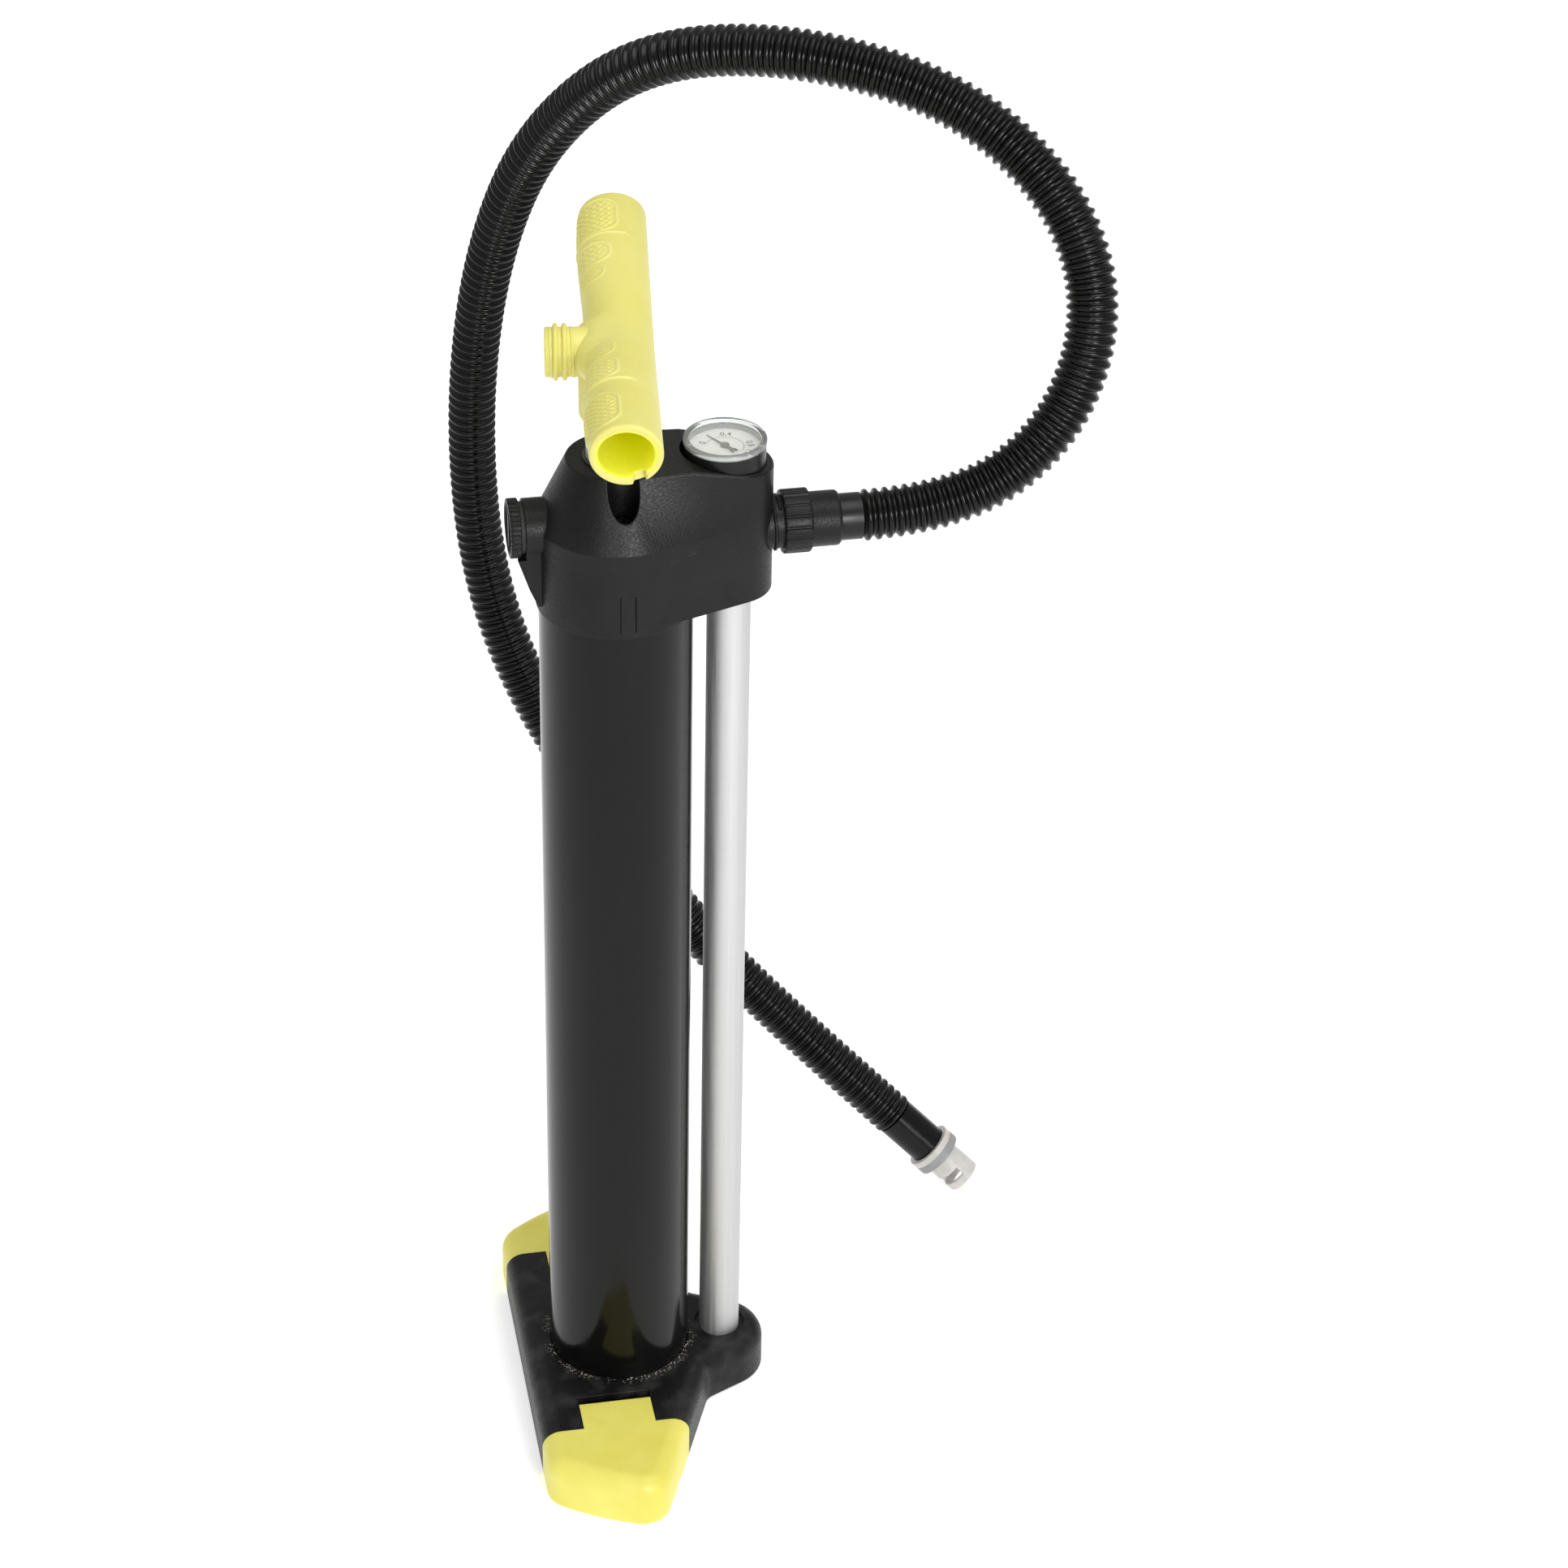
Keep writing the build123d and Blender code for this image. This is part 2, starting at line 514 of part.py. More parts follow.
# ---- piston and rod -------------------------------------------------------------------
def piston_core():
    """Piston with its seal groove, rod spigot and the airways to both faces."""
    outer = BARREL_BORE_R - PISTON_SIDE_GAP
    core = rod_z(outer, PISTON_BOTTOM, PISTON_TOP)
    core += rod_z(ROD_BORE_R - SEAT, PISTON_TOP, PISTON_TOP + ROD_SPIGOT)
    groove = PISTON_BOTTOM + SEAL_GROOVE_Z
    core -= tube_z(outer + 1, outer - SEAL_DEPTH, groove, groove + SEAL_HEIGHT)
    core -= rod_z(AIRWAY_R, PISTON_BOTTOM + 6, PISTON_TOP + ROD_SPIGOT)
    for spot in PolarLocations(AIRWAY_R - 3.5, 6):
        core -= spot * rod_z(1.6, PISTON_BOTTOM, PISTON_BOTTOM + 6)
    cross_z = PISTON_TOP - 5
    for spot in PolarLocations(0, 3):
        core -= spot * rod_x(1.8, -24, 24, cross_z)
    for spot in PolarLocations(22, 6):
        core -= spot * rod_z(1.8, cross_z, PISTON_TOP)
    core -= rod_x(PIN_R, -ROD_R, ROD_R, PISTON_TOP + ROD_SPIGOT / 2)
    return core - rod_z(1.5, PISTON_BOTTOM, PISTON_BOTTOM + 6)


def piston_seal():
    """U-cup ring that wipes the bore in both directions."""
    low = PISTON_BOTTOM + SEAL_GROOVE_Z + RUN
    high = low + SEAL_HEIGHT - 2 * RUN
    inner = BARREL_BORE_R - PISTON_SIDE_GAP - SEAL_DEPTH + RUN
    outer = BARREL_BORE_R - RUN
    seal = tube_z(outer, inner, low, high)
    mid = (inner + outer) / 2
    for start in (low, high - 1.8):
        seal -= tube_z(mid + 0.8, mid - 0.8, start, start + 1.8)
    return seal


def piston_upper_flap():
    return tube_z(FLAP_R, ROD_R + SEAT, PISTON_TOP, PISTON_TOP + FLAP)


def piston_lower_flap():
    return tube_z(AIRWAY_R, 1.5 + SEAT, PISTON_BOTTOM - FLAP, PISTON_BOTTOM)


def piston_flap_screw():
    head = rod_z(3.2, PISTON_BOTTOM - FLAP - 1.2, PISTON_BOTTOM - FLAP)
    return head + rod_z(1.5 - SEAT / 2, PISTON_BOTTOM - FLAP, PISTON_BOTTOM + 5.5)


def piston_rod():
    top = HUB_BOTTOM + ROD_SOCKET
    rod = tube_z(ROD_R, ROD_BORE_R, PISTON_TOP, top)
    rod -= rod_x(PIN_R, -ROD_R - 1, ROD_R + 1, PISTON_TOP + ROD_SPIGOT / 2)
    rod -= Rot(0, 0, HANDLE_YAW) * hub_screw_axis(PIN_R, ROD_BORE_R - 2, ROD_R + 2)
    return rod


def rod_pin():
    half = ROD_R - SEAT
    return rod_x(PIN_R - SEAT / 2, -half, half, PISTON_TOP + ROD_SPIGOT / 2)


def hub_screw_axis(radius, start, end):
    """Cylinder along +Y at the height of the screw that locks the handle on the rod."""
    middle = Pos(0, (start + end) / 2, HUB_BOTTOM + ROD_SOCKET / 2)
    return middle * Rot(90, 0, 0) * Cylinder(radius, end - start)


# ---- handle ---------------------------------------------------------------------------
def grip_plane(reach, shift=0.0):
    """Plane across the handle at a signed distance from the hub."""
    slope = math.tan(math.radians(GRIP_RISE))
    bend = math.hypot(reach, GRIP_BLEND)
    tilt = math.atan(slope * reach / bend)
    origin = (GRIP_OFFSET + shift, reach, HANDLE_Z + slope * (bend - GRIP_BLEND))
    return Plane(origin=origin, x_dir=(1, 0, 0), z_dir=(0, math.cos(tilt), math.sin(tilt)))


def handle():
    """Hollow T handle: two upswept oval grips, rod socket and threaded spigot."""
    full = (GRIP_A, GRIP_B)
    waist = (WAIST_A, WAIST_B)
    stations = [(0, full), (0.14, full), (0.32, waist), (0.42, waist), (0.66, full), (1, full)]
    body = Part()
    for side in (-1, 1):
        sections = [grip_plane(side * share * GRIP_HALF_LENGTH, GRIP_A - size[0]) * Ellipse(*size)
                    for share, size in stations]
        body += loft(sections, ruled=True)
    hub = rod_z(HUB_R, HUB_BOTTOM, HANDLE_Z)
    hub = fillet(hub.faces().sort_by(Axis.Z)[0].edges(), HUB_EDGE)
    body += hub + rod_x(SPIGOT_R, -SPIGOT_TIP, 0, HANDLE_Z)
    body += rod_x(SPIGOT_ROOT_R, -SPIGOT_ROOT_END, 0, HANDLE_Z)
    for side in (-1, 1):
        mouth = grip_plane(side * GRIP_HALF_LENGTH)
        inside = mouth * Ellipse(GRIP_A - GRIP_WALL, GRIP_B - GRIP_WALL)
        body -= extrude(inside, -side * (GRIP_HALF_LENGTH - GRIP_BORE_END))
        notch = mouth * Pos(GRIP_A * 0.55, GRIP_B * 0.72, 0)
        body -= notch * Box(RIM_NOTCH, 1.6 * GRIP_WALL, RIM_NOTCH)
    body -= rod_z(ROD_R + SEAT, HUB_BOTTOM, HUB_BOTTOM + ROD_SOCKET)
    body -= rod_z(SPIGOT_BORE_R, HUB_BOTTOM, HANDLE_Z)
    body -= rod_x(SPIGOT_BORE_R, -SPIGOT_TIP, 0, HANDLE_Z)
    body -= hub_screw_axis(PIN_R, ROD_R - 1, HUB_R + 1)
    return Rot(0, 0, HANDLE_YAW) * body


def handle_screw():
    screw = hub_screw_axis(PIN_R - SEAT / 2, ROD_BORE_R - 1, HUB_R - 0.2)
    return Rot(0, 0, HANDLE_YAW) * screw


# ---- gauge ----------------------------------------------------------------------------
def gauge_case():
    case = rod_z(GAUGE_R, GAUGE_BOTTOM, LENS_SEAT, GAUGE_X)
    seat = DIAL_Z - DIAL_THICK
    case -= rod_z(GAUGE_R - GAUGE_WALL, seat, LENS_SEAT, GAUGE_X)
    case -= rod_z(DIAL_R - 1.5, GAUGE_BOTTOM + GAUGE_FLOOR, seat, GAUGE_X)
    return case - rod_z(3 + SEAT, GAUGE_BOTTOM, GAUGE_BOTTOM + GAUGE_FLOOR, GAUGE_X)


def gauge_stem():
    stem = rod_z(5, GAUGE_BOTTOM - 12, GAUGE_BOTTOM, GAUGE_X)
    stem += rod_z(3, GAUGE_BOTTOM, GAUGE_BOTTOM + GAUGE_FLOOR, GAUGE_X)
    return stem - rod_z(1, GAUGE_BOTTOM - 12, GAUGE_BOTTOM + GAUGE_FLOOR, GAUGE_X)


def gauge_movement():
    """Movement block that carries the needle's shaft under the dial."""
    low = GAUGE_BOTTOM + GAUGE_FLOOR
    top = DIAL_Z - DIAL_THICK
    block_top = top - 2
    body = rod_z(9, low, block_top, GAUGE_X) + rod_z(3, block_top, top, GAUGE_X)
    return body - rod_z(0.8 + RUN, block_top - 2, top, GAUGE_X)


def gauge_dial():
    return tube_z(DIAL_R, 1.4, DIAL_Z - DIAL_THICK, DIAL_Z, GAUGE_X)


def gauge_needle():
    """Tapered pointer with its tail and shaft."""
    tail = NEEDLE_TAIL
    pointer = make_face(Polyline(
        (-tail, -1.3), (0, -0.9), (NEEDLE_LENGTH, -0.25), (NEEDLE_LENGTH, 0.25), (0, 0.9),
        (-tail, 1.3), close=True))
    blade = Pos(GAUGE_X, 0, NEEDLE_Z) * Rot(0, 0, NEEDLE_REST) * extrude(pointer, NEEDLE_THICK)
    shaft_low = DIAL_Z - DIAL_THICK - 3.5
    shaft = rod_z(0.8, shaft_low, NEEDLE_Z, GAUGE_X)
    return blade + shaft + rod_z(2.2, NEEDLE_Z, NEEDLE_Z + 2 * NEEDLE_THICK, GAUGE_X)


def gauge_lens():
    """Clear cover: thick raised rim that reaches down to the dial, and a sunk window."""
    window_top = LENS_TOP - LENS_DISH
    low = DIAL_Z + SEAT
    lens = rod_z(LENS_R, LENS_SEAT, LENS_TOP, GAUGE_X)
    lens += rod_z(GAUGE_R - GAUGE_WALL - SEAT, low, LENS_SEAT, GAUGE_X)
    lens -= rod_z(LENS_R - LENS_RIM, window_top, LENS_TOP, GAUGE_X)
    return lens - rod_z(LENS_R - LENS_RIM, low, window_top - WINDOW_THICK, GAUGE_X)


# ---- selector port --------------------------------------------------------------------
def port_cap():
    """Screw cap with a dished face, a grip bar and grooves round the rim."""
    back = PORT_BOSS_END - GASKET_THICK
    face = back - CAP_THICK
    cap = rod_x(CAP_R, face, back, PORT_Z)
    cap += rod_x(PORT_THREAD_R - RUN, back, PORT_BOSS_END + PORT_THREAD_LENGTH - 1, PORT_Z)
    cap -= rod_x(CAP_R - 2.6, face, face + CAP_DISH, PORT_Z)
    cap += block((face + 0.2, face + CAP_DISH), (-CAP_R + 2, CAP_R - 2), (PORT_Z - 2, PORT_Z + 2))
    for spot in PolarLocations(CAP_R + 0.3, CAP_GROOVES):
        groove = Pos((face + back) / 2, 0, PORT_Z) * Rot(0, 90, 0) * spot
        cap -= groove * Cylinder(1.1, CAP_THICK)
    return cap


def port_gasket():
    inner = PORT_THREAD_R + SEAT
    return tube_x(inner + GASKET_WALL, inner, PORT_BOSS_END - GASKET_THICK, PORT_BOSS_END, PORT_Z)


# ---- outlet ---------------------------------------------------------------------------
def outlet_seal():
    return tube_x(OUTLET_BOSS_R - 1, OUTLET_BORE_R, OUTLET_BOSS_END,
                  OUTLET_BOSS_END + OUTLET_SEAL, OUTLET_Z)


def hose_neck():
    start = OUTLET_BOSS_END + OUTLET_SEAL
    neck = rod_x(NECK_R, start, NECK_END, OUTLET_Z)
    neck += rod_x(NECK_FLANGE_R, start, start + NECK_FLANGE, OUTLET_Z)
    return neck - rod_x(NECK_R - NECK_WALL, start, NECK_END, OUTLET_Z)


def slip_ring_span():
    start = OUTLET_BOSS_END + OUTLET_SEAL + NECK_FLANGE
    return start, start + SLIP_RING


def nut_slip_ring():
    """Low-friction washer that lets the nut turn against the flange of the neck."""
    start, end = slip_ring_span()
    return tube_x(NECK_FLANGE_R, NECK_R + RUN, start, end, OUTLET_Z)


def hose_nut():
    """Coupling nut: ribbed ring with a smooth sleeve that runs on the neck."""
    nut = rod_x(NUT_RING_R, NUT_START, NUT_RING_END, OUTLET_Z)
    sleeve = rod_x(NUT_SLEEVE_R, NUT_START, NUT_SLEEVE_END, OUTLET_Z)
    sleeve = fillet(sleeve.faces().sort_by(Axis.X)[-1].edges(), 1.5)
    nut += sleeve
    width = 2 * math.pi * NUT_RING_R / NUT_RIBS / 2
    height = 2 * NUT_RIB_HEIGHT + 1
    for turn in range(NUT_RIBS):
        place = Pos((NUT_START + NUT_RING_END) / 2, 0, OUTLET_Z) * Rot(turn * 360 / NUT_RIBS, 0, 0)
        rib = Pos(0, 0, NUT_RING_R - height / 2 + NUT_RIB_HEIGHT - 0.3)
        nut += place * rib * Box(NUT_RING_END - NUT_START - 1, width, height)
    nut -= rod_x(OUTLET_BOSS_R + SEAT, NUT_START, slip_ring_span()[1], OUTLET_Z)
    return nut - rod_x(NECK_R + SEAT, NUT_START, NUT_SLEEVE_END, OUTLET_Z)


# ---- hose and plug --------------------------------------------------------------------
def hose_radii():
    """Largest bend at each point that its two runs allow."""
    points = [Vector(*p) for p in HOSE_POINTS]
    radii = []
    for before, here, after in zip(points, points[1:], points[2:]):
        turn = math.radians((here - before).get_angle(after - here))
        shorter = min((here - before).length, (after - here).length)
        radii.append(0.45 * shorter / math.tan(turn / 2))
    return radii


def hose():
    path = FilletPolyline(*HOSE_POINTS, radius=hose_radii())
    start = Plane(origin=HOSE_POINTS[0], z_dir=path % 0)
    ring = start * (Circle(HOSE_R) - Circle(HOSE_R - HOSE_WALL))
    return sweep(ring, path=path)


def plug_plane():
    """Plane at the end of the hose, facing along it."""
    last, before = Vector(*HOSE_POINTS[-1]), Vector(*HOSE_POINTS[-2])
    return Plane(origin=last, x_dir=(0, -0.9, 0.4), z_dir=last - before)


def along_plug(radius, start, end):
    """Cylinder on the plug's axis between two distances from the end of the hose."""
    return plug_plane() * Pos(0, 0, (start + end) / 2) * Cylinder(radius, end - start)


def hose_end_cuff():
    cuff = along_plug(CUFF_R, 0, CUFF_LENGTH)
    return cuff - along_plug(PLUG_R - PLUG_WALL, 0, CUFF_LENGTH)


def plug_slot(start, end, height):
    """Wedge that opens the plug's wall between two angles, with its foot at z 0."""
    steps = [math.radians(start + (end - start) * share / 4) for share in range(5)]
    arc = [(2 * PLUG_R * math.cos(t), 2 * PLUG_R * math.sin(t)) for t in steps]
    return extrude(make_face(Polyline((0, 0), *arc, close=True)), height)


def plug_body():
    """Bayonet plug with its flange and two slots round its wall."""
    flange_end = CUFF_LENGTH + PLUG_FLANGE
    tip = flange_end + WASHER_THICK + PLUG_LENGTH
    plug = along_plug(PLUG_FLANGE_R, CUFF_LENGTH, flange_end) + along_plug(PLUG_R, flange_end, tip)
    slot_foot = plug_plane() * Pos(0, 0, tip - PLUG_LIP - PLUG_SLOT)
    for start, end in PLUG_SLOT_ARCS:
        plug -= slot_foot * plug_slot(start, end, PLUG_SLOT)
    return plug - along_plug(PLUG_R - PLUG_WALL, CUFF_LENGTH, tip)


def plug_washer():
    start = CUFF_LENGTH + PLUG_FLANGE
    return along_plug(WASHER_R, start, start + WASHER_THICK) - along_plug(
        PLUG_R + SEAT, start, start + WASHER_THICK)


def main():
    body = base_body()
    nodes = {
        "base_housing": base_housing(body),
        "foot_cap_front": foot_cap(body, -1),
        "foot_cap_back": foot_cap(body, 1),
        "base_bottom_plate": base_bottom_plate(),
        "base_screws": base_screws(),
        "base_check_valve": base_check_valve(),
        "barrel_foot_seal": ring_seal(BARREL_R + SEAT / 2, FOOT_SEAL_Z),
        "side_tube_foot_seal": ring_seal(SIDE_TUBE_R + SEAT / 2, FOOT_SEAL_Z, SIDE_TUBE_X),
        "side_tube_head_seal": ring_seal(SIDE_TUBE_R + SEAT / 2, HEAD_SEAL_Z, SIDE_TUBE_X),
        "barrel_tube": tube_z(BARREL_R, BARREL_BORE_R, LEDGE_Z, BARREL_TOP),
        "side_tube": tube_z(SIDE_TUBE_R, SIDE_TUBE_R - SIDE_TUBE_WALL, SIDE_TUBE_FOOT,
                            SIDE_TUBE_TOP, SIDE_TUBE_X),
        "head_housing": head_housing(),
        "barrel_collar": barrel_collar(),
        "cylinder_cover": cylinder_cover(),
        "cylinder_cover_seal": ring_seal(BARREL_BORE_R - 2 * SEAL_R - SEAT / 2,
                                         (COVER_BOTTOM + BARREL_TOP) / 2),
        "head_check_valve": head_check_valve(),
        "head_screws": head_screws(),
        "rod_bush": rod_bush(),
        "rod_seal": rod_seal(),
        "piston_core": piston_core(),
        "piston_seal": piston_seal(),
        "piston_upper_flap": piston_upper_flap(),
        "piston_lower_flap": piston_lower_flap(),
        "piston_flap_screw": piston_flap_screw(),
        "piston_rod": piston_rod(),
        "rod_pin": rod_pin(),
        "handle": handle(),
        "handle_screw": handle_screw(),
        "gauge_case": gauge_case(),
        "gauge_stem": gauge_stem(),
        "gauge_movement": gauge_movement(),
        "gauge_dial": gauge_dial(),
        "gauge_needle": gauge_needle(),
        "gauge_lens": gauge_lens(),
        "port_cap": port_cap(),
        "port_gasket": port_gasket(),
        "outlet_seal": outlet_seal(),
        "hose_neck": hose_neck(),
        "nut_slip_ring": nut_slip_ring(),
        "hose_nut": hose_nut(),
        "hose": hose(),
        "hose_end_cuff": hose_end_cuff(),
        "plug_body": plug_body(),
        "plug_washer": plug_washer(),
    }
    for name, shape in nodes.items():
        export_step(shape, f"parts/{name}.step")
    print("hose bend radii:", [round(r) for r in hose_radii()])


main()
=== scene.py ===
import json
import math

import bmesh
import bpy
from bpy.props import FloatProperty, FloatVectorProperty, IntProperty, PointerProperty
from mathutils import Matrix, Vector


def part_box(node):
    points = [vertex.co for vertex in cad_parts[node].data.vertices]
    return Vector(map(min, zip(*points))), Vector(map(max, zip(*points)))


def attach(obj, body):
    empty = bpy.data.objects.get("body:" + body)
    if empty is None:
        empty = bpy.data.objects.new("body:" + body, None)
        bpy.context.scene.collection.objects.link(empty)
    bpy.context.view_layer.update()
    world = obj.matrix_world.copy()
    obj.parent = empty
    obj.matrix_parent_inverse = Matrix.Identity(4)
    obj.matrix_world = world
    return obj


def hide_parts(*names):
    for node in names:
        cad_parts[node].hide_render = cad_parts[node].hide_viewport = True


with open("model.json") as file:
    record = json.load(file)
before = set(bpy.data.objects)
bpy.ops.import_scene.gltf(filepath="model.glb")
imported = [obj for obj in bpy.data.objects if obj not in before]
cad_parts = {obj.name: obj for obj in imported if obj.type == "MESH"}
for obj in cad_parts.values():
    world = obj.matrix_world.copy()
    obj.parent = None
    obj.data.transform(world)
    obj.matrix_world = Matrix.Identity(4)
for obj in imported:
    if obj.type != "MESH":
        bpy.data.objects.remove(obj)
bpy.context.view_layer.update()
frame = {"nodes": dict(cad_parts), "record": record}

bl_info = {
    "name": "Double action hand pump",
    "version": (1, 0, 0),
    "blender": (4, 5, 0),
    "location": "3D View > Sidebar > Hand pump",
    "description": "Dresses the packed model of a double action hand pump and sets its stage",
    "category": "Object",
}

MM = 0.001
MOUNTS = {mount["name"]: mount for mount in frame["record"]["mounts"]}

# The hose's route, the same points as the solid's, in metres.
HOSE_ROUTE = (
    (0.127, 0, 0.568), (0.180, 0, 0.568), (0.2325, 0.004, 0.6055), (0.253, 0.015, 0.6675),
    (0.238, 0.043, 0.721), (0.189, 0.084, 0.7605), (0.1105, 0.120, 0.776), (0.0385, 0.160, 0.759),
    (-0.0095, 0.208, 0.6955), (-0.034, 0.243, 0.6105), (-0.045, 0.259, 0.505),
    (-0.0405, 0.257, 0.402), (-0.0175, 0.238, 0.324), (0.0305, 0.214, 0.243),
    (0.075, 0.195, 0.172), (0.1345, 0.1695, 0.1085), (0.1945, 0.1463, 0.0505),
)


# The dial's scale runs clockwise between these angles in degrees, with two ticks to a tenth.
DIAL_START, DIAL_END, DIAL_TICK = 153.5, -34, 9.375
# Number, angle in degrees and distance from the dial's centre in mm.
DIAL_NUMBERS = (
    ("0", DIAL_START, 11.8), ("0.4", 78.5, 12.6), ("0.8", 3.5, 12.9), ("1.0", DIAL_END, 12.9))

# The handle, in mm: the bend's softness at the hub, and how far the grips lie off the rod.
GRIP_BLEND, GRIP_SHIFT = 14, 1.9
# Its oval section is about as far round as a circle of this radius.
GRIP_MEAN_RADIUS = 16.6
# Dashes inside the finger pads: from row to row, and from dash to dash in a row.
DASH_ROW, DASH_PITCH = 2.3, 3.7
# About the radius of the port cap's and the nut's grooved rims, and the cap's groups of grooves.
CAP_RIM, NUT_RIM, CAP_GROUPS = 15.4, 16.6, 12

# Where the camera stands, in metres, and how it turns about Z, X and its own line of sight.
CAMERA_PLACE, CAMERA_TURNS = (-0.27054, -1.77449, 1.62152), (-11.5, 90 - 33.89, 1.34)
# Softboxes: name, place, what they aim at, size in m, power in W, and whether they light the
# surfaces or only show in their gloss.
SOFTBOXES = (
    ("overhead", (0.5, -0.2, 2.4), (0, 0, 0.3), 1.2, 14, True),
    ("front", (0.6, -2.4, 1.45), (0, 0, 0.5), 0.6, 25, True),
    ("glint_right", (0.8, -2.3, 1.05), (0, 0, 0.6), 0.9, 24, False),
    ("glint_left", (-0.65, -2.3, 1.42), (0, 0, 0.6), 0.5, 12, False),
)


# ---- small helpers --------------------------------------------------------------------
def linear(hex_colour):
    """Linear RGBA of an sRGB hex colour such as #2D2D2D."""
    channels = [int(hex_colour[i:i + 2], 16) / 255 for i in (1, 3, 5)]
    rgb = [c / 12.92 if c <= 0.04045 else ((c + 0.055) / 1.055) ** 2.4 for c in channels]
    return (*rgb, 1.0)


def smooth(low, high, x):
    """Rises from 0 at low to 1 at high without a corner."""
    share = min(max((x - low) / (high - low), 0.0), 1.0)
    return share * share * (3 - 2 * share)


def hump(x):
    """Rounded hill of height 1 that is 0 from 1 outwards."""
    return max(0.0, 1 - x * x) ** 2


def middle(node_name):
    """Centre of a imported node's box."""
    low, high = (Vector(corner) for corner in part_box(node_name))
    return (low + high) / 2


def placed(name, data):
    """New object of some data, linked into the scene."""
    made = bpy.data.objects.new(name, data)
    bpy.context.scene.collection.objects.link(made)
    return made


def axes_at(spot, along, up):
    """Matrix at a spot whose Z runs along a direction and whose X points up as far as it can."""
    z = Vector(along).normalized()
    x = (Vector(up) - z * z.dot(Vector(up))).normalized()
    turn = Matrix((x, z.cross(x), z)).transposed().to_4x4()
    return Matrix.Translation(spot) @ turn


# ---- materials ------------------------------------------------------------------------
def add_node(tree, kind, settings=None, links=None):
    """Adds a node, sets its sockets and properties, and links sockets to other outputs."""
    made = tree.nodes.new(kind)
    for key, value in (settings or {}).items():
        if isinstance(key, int) or key in made.inputs:
            made.inputs[key].default_value = value
        else:
            setattr(made, key, value)
    for key, source in (links or {}).items():
        tree.links.new(source, made.inputs[key])
    return made


def start_material(name, colour, roughness, **sockets):
    """New material with its shader; plain values go straight onto the shader's sockets."""
    material = bpy.data.materials.new(name)
    material.use_nodes = True
    shader = material.node_tree.nodes["Principled BSDF"]
    shader.inputs["Base Color"].default_value = colour
    shader.inputs["Roughness"].default_value = roughness
    for key, value in sockets.items():
        shader.inputs[key.replace("_", " ")].default_value = value
    return material


def wire(material, socket, source):
    """Links an output to a socket of the material's shader."""
    tree = material.node_tree
    tree.links.new(source, tree.nodes["Principled BSDF"].inputs[socket])


def object_space(material, stretch=(1, 1, 1)):
    """Object coordinates in metres, squeezed along each axis by stretch."""
    tree = material.node_tree
    spot = add_node(tree, "ShaderNodeTexCoord").outputs["Object"]
    return add_node(tree, "ShaderNodeMapping", {"Scale": stretch}, {"Vector": spot}).outputs[0]


def cloud(material, spot, size, low, high, strength=1.0, detail=3.0):
    """Mask of soft patches about size mm across, 0 below low and full above high."""
    tree = material.node_tree
    noise = add_node(
        tree, "ShaderNodeTexNoise", {"Scale": 1 / (size * MM), "Detail": detail}, {"Vector": spot})
    return add_node(
        tree, "ShaderNodeMapRange", {"From Min": low, "From Max": high, "To Max": strength},
        {"Value": noise.outputs[0]}).outputs[0]


def specks(material, spot, pitch, size, share):
    """Mask of scattered specks of a size in mm; share of the cells of a pitch in mm hold one."""
    tree = material.node_tree
    cells = add_node(tree, "ShaderNodeTexVoronoi", {"Scale": 1 / (pitch * MM)}, {"Vector": spot})
    near = add_node(
        tree, "ShaderNodeMath", {"operation": "LESS_THAN", 1: size / (2 * pitch)},
        {0: cells.outputs["Distance"]})
    chosen = add_node(
        tree, "ShaderNodeMath", {"operation": "LESS_THAN", 1: share}, {0: cells.outputs["Color"]})
    return add_node(
        tree, "ShaderNodeMath", {"operation": "MULTIPLY"},
        {0: near.outputs[0], 1: chosen.outputs[0]}).outputs[0]


def length_of(material, vector):
    """Length of a vector output, as a value."""
    return add_node(
        material.node_tree, "ShaderNodeVectorMath", {"operation": "LENGTH"},
        {0: vector}).outputs["Value"]


def both(material, first, second):
    """Mask that holds where two masks do."""
    return add_node(
        material.node_tree, "ShaderNodeMath", {"operation": "MULTIPLY"},
        {0: first, 1: second}).outputs[0]


def over(material, below, colour, mask):
    """Colour laid over what is below it where the mask is 1."""
    mix = add_node(
        material.node_tree, "ShaderNodeMix", {"data_type": "RGBA", 7: colour}, {0: mask})
    if isinstance(below, bpy.types.NodeSocket):
        material.node_tree.links.new(below, mix.inputs[6])
    else:
        mix.inputs[6].default_value = below
    return mix.outputs[2]


def flecked(material, below, shade, pitch, size, share):
    """Colour with scattered specks of another shade on it; the rest is as for specks()."""
    mask = specks(material, object_space(material), pitch, size, share)
    return over(material, below, linear(shade), mask)


def patchy(name, base, patch, spread, roughness, stretch=(1, 1, 1), **sockets):
    """New material with soft patches of a second colour, and its colour so far.

    spread is what cloud() takes after its coordinates.
    """
    material = start_material(name, base, roughness, **sockets)
    mask = cloud(material, object_space(material, stretch), *spread)
    return material, over(material, base, patch, mask)


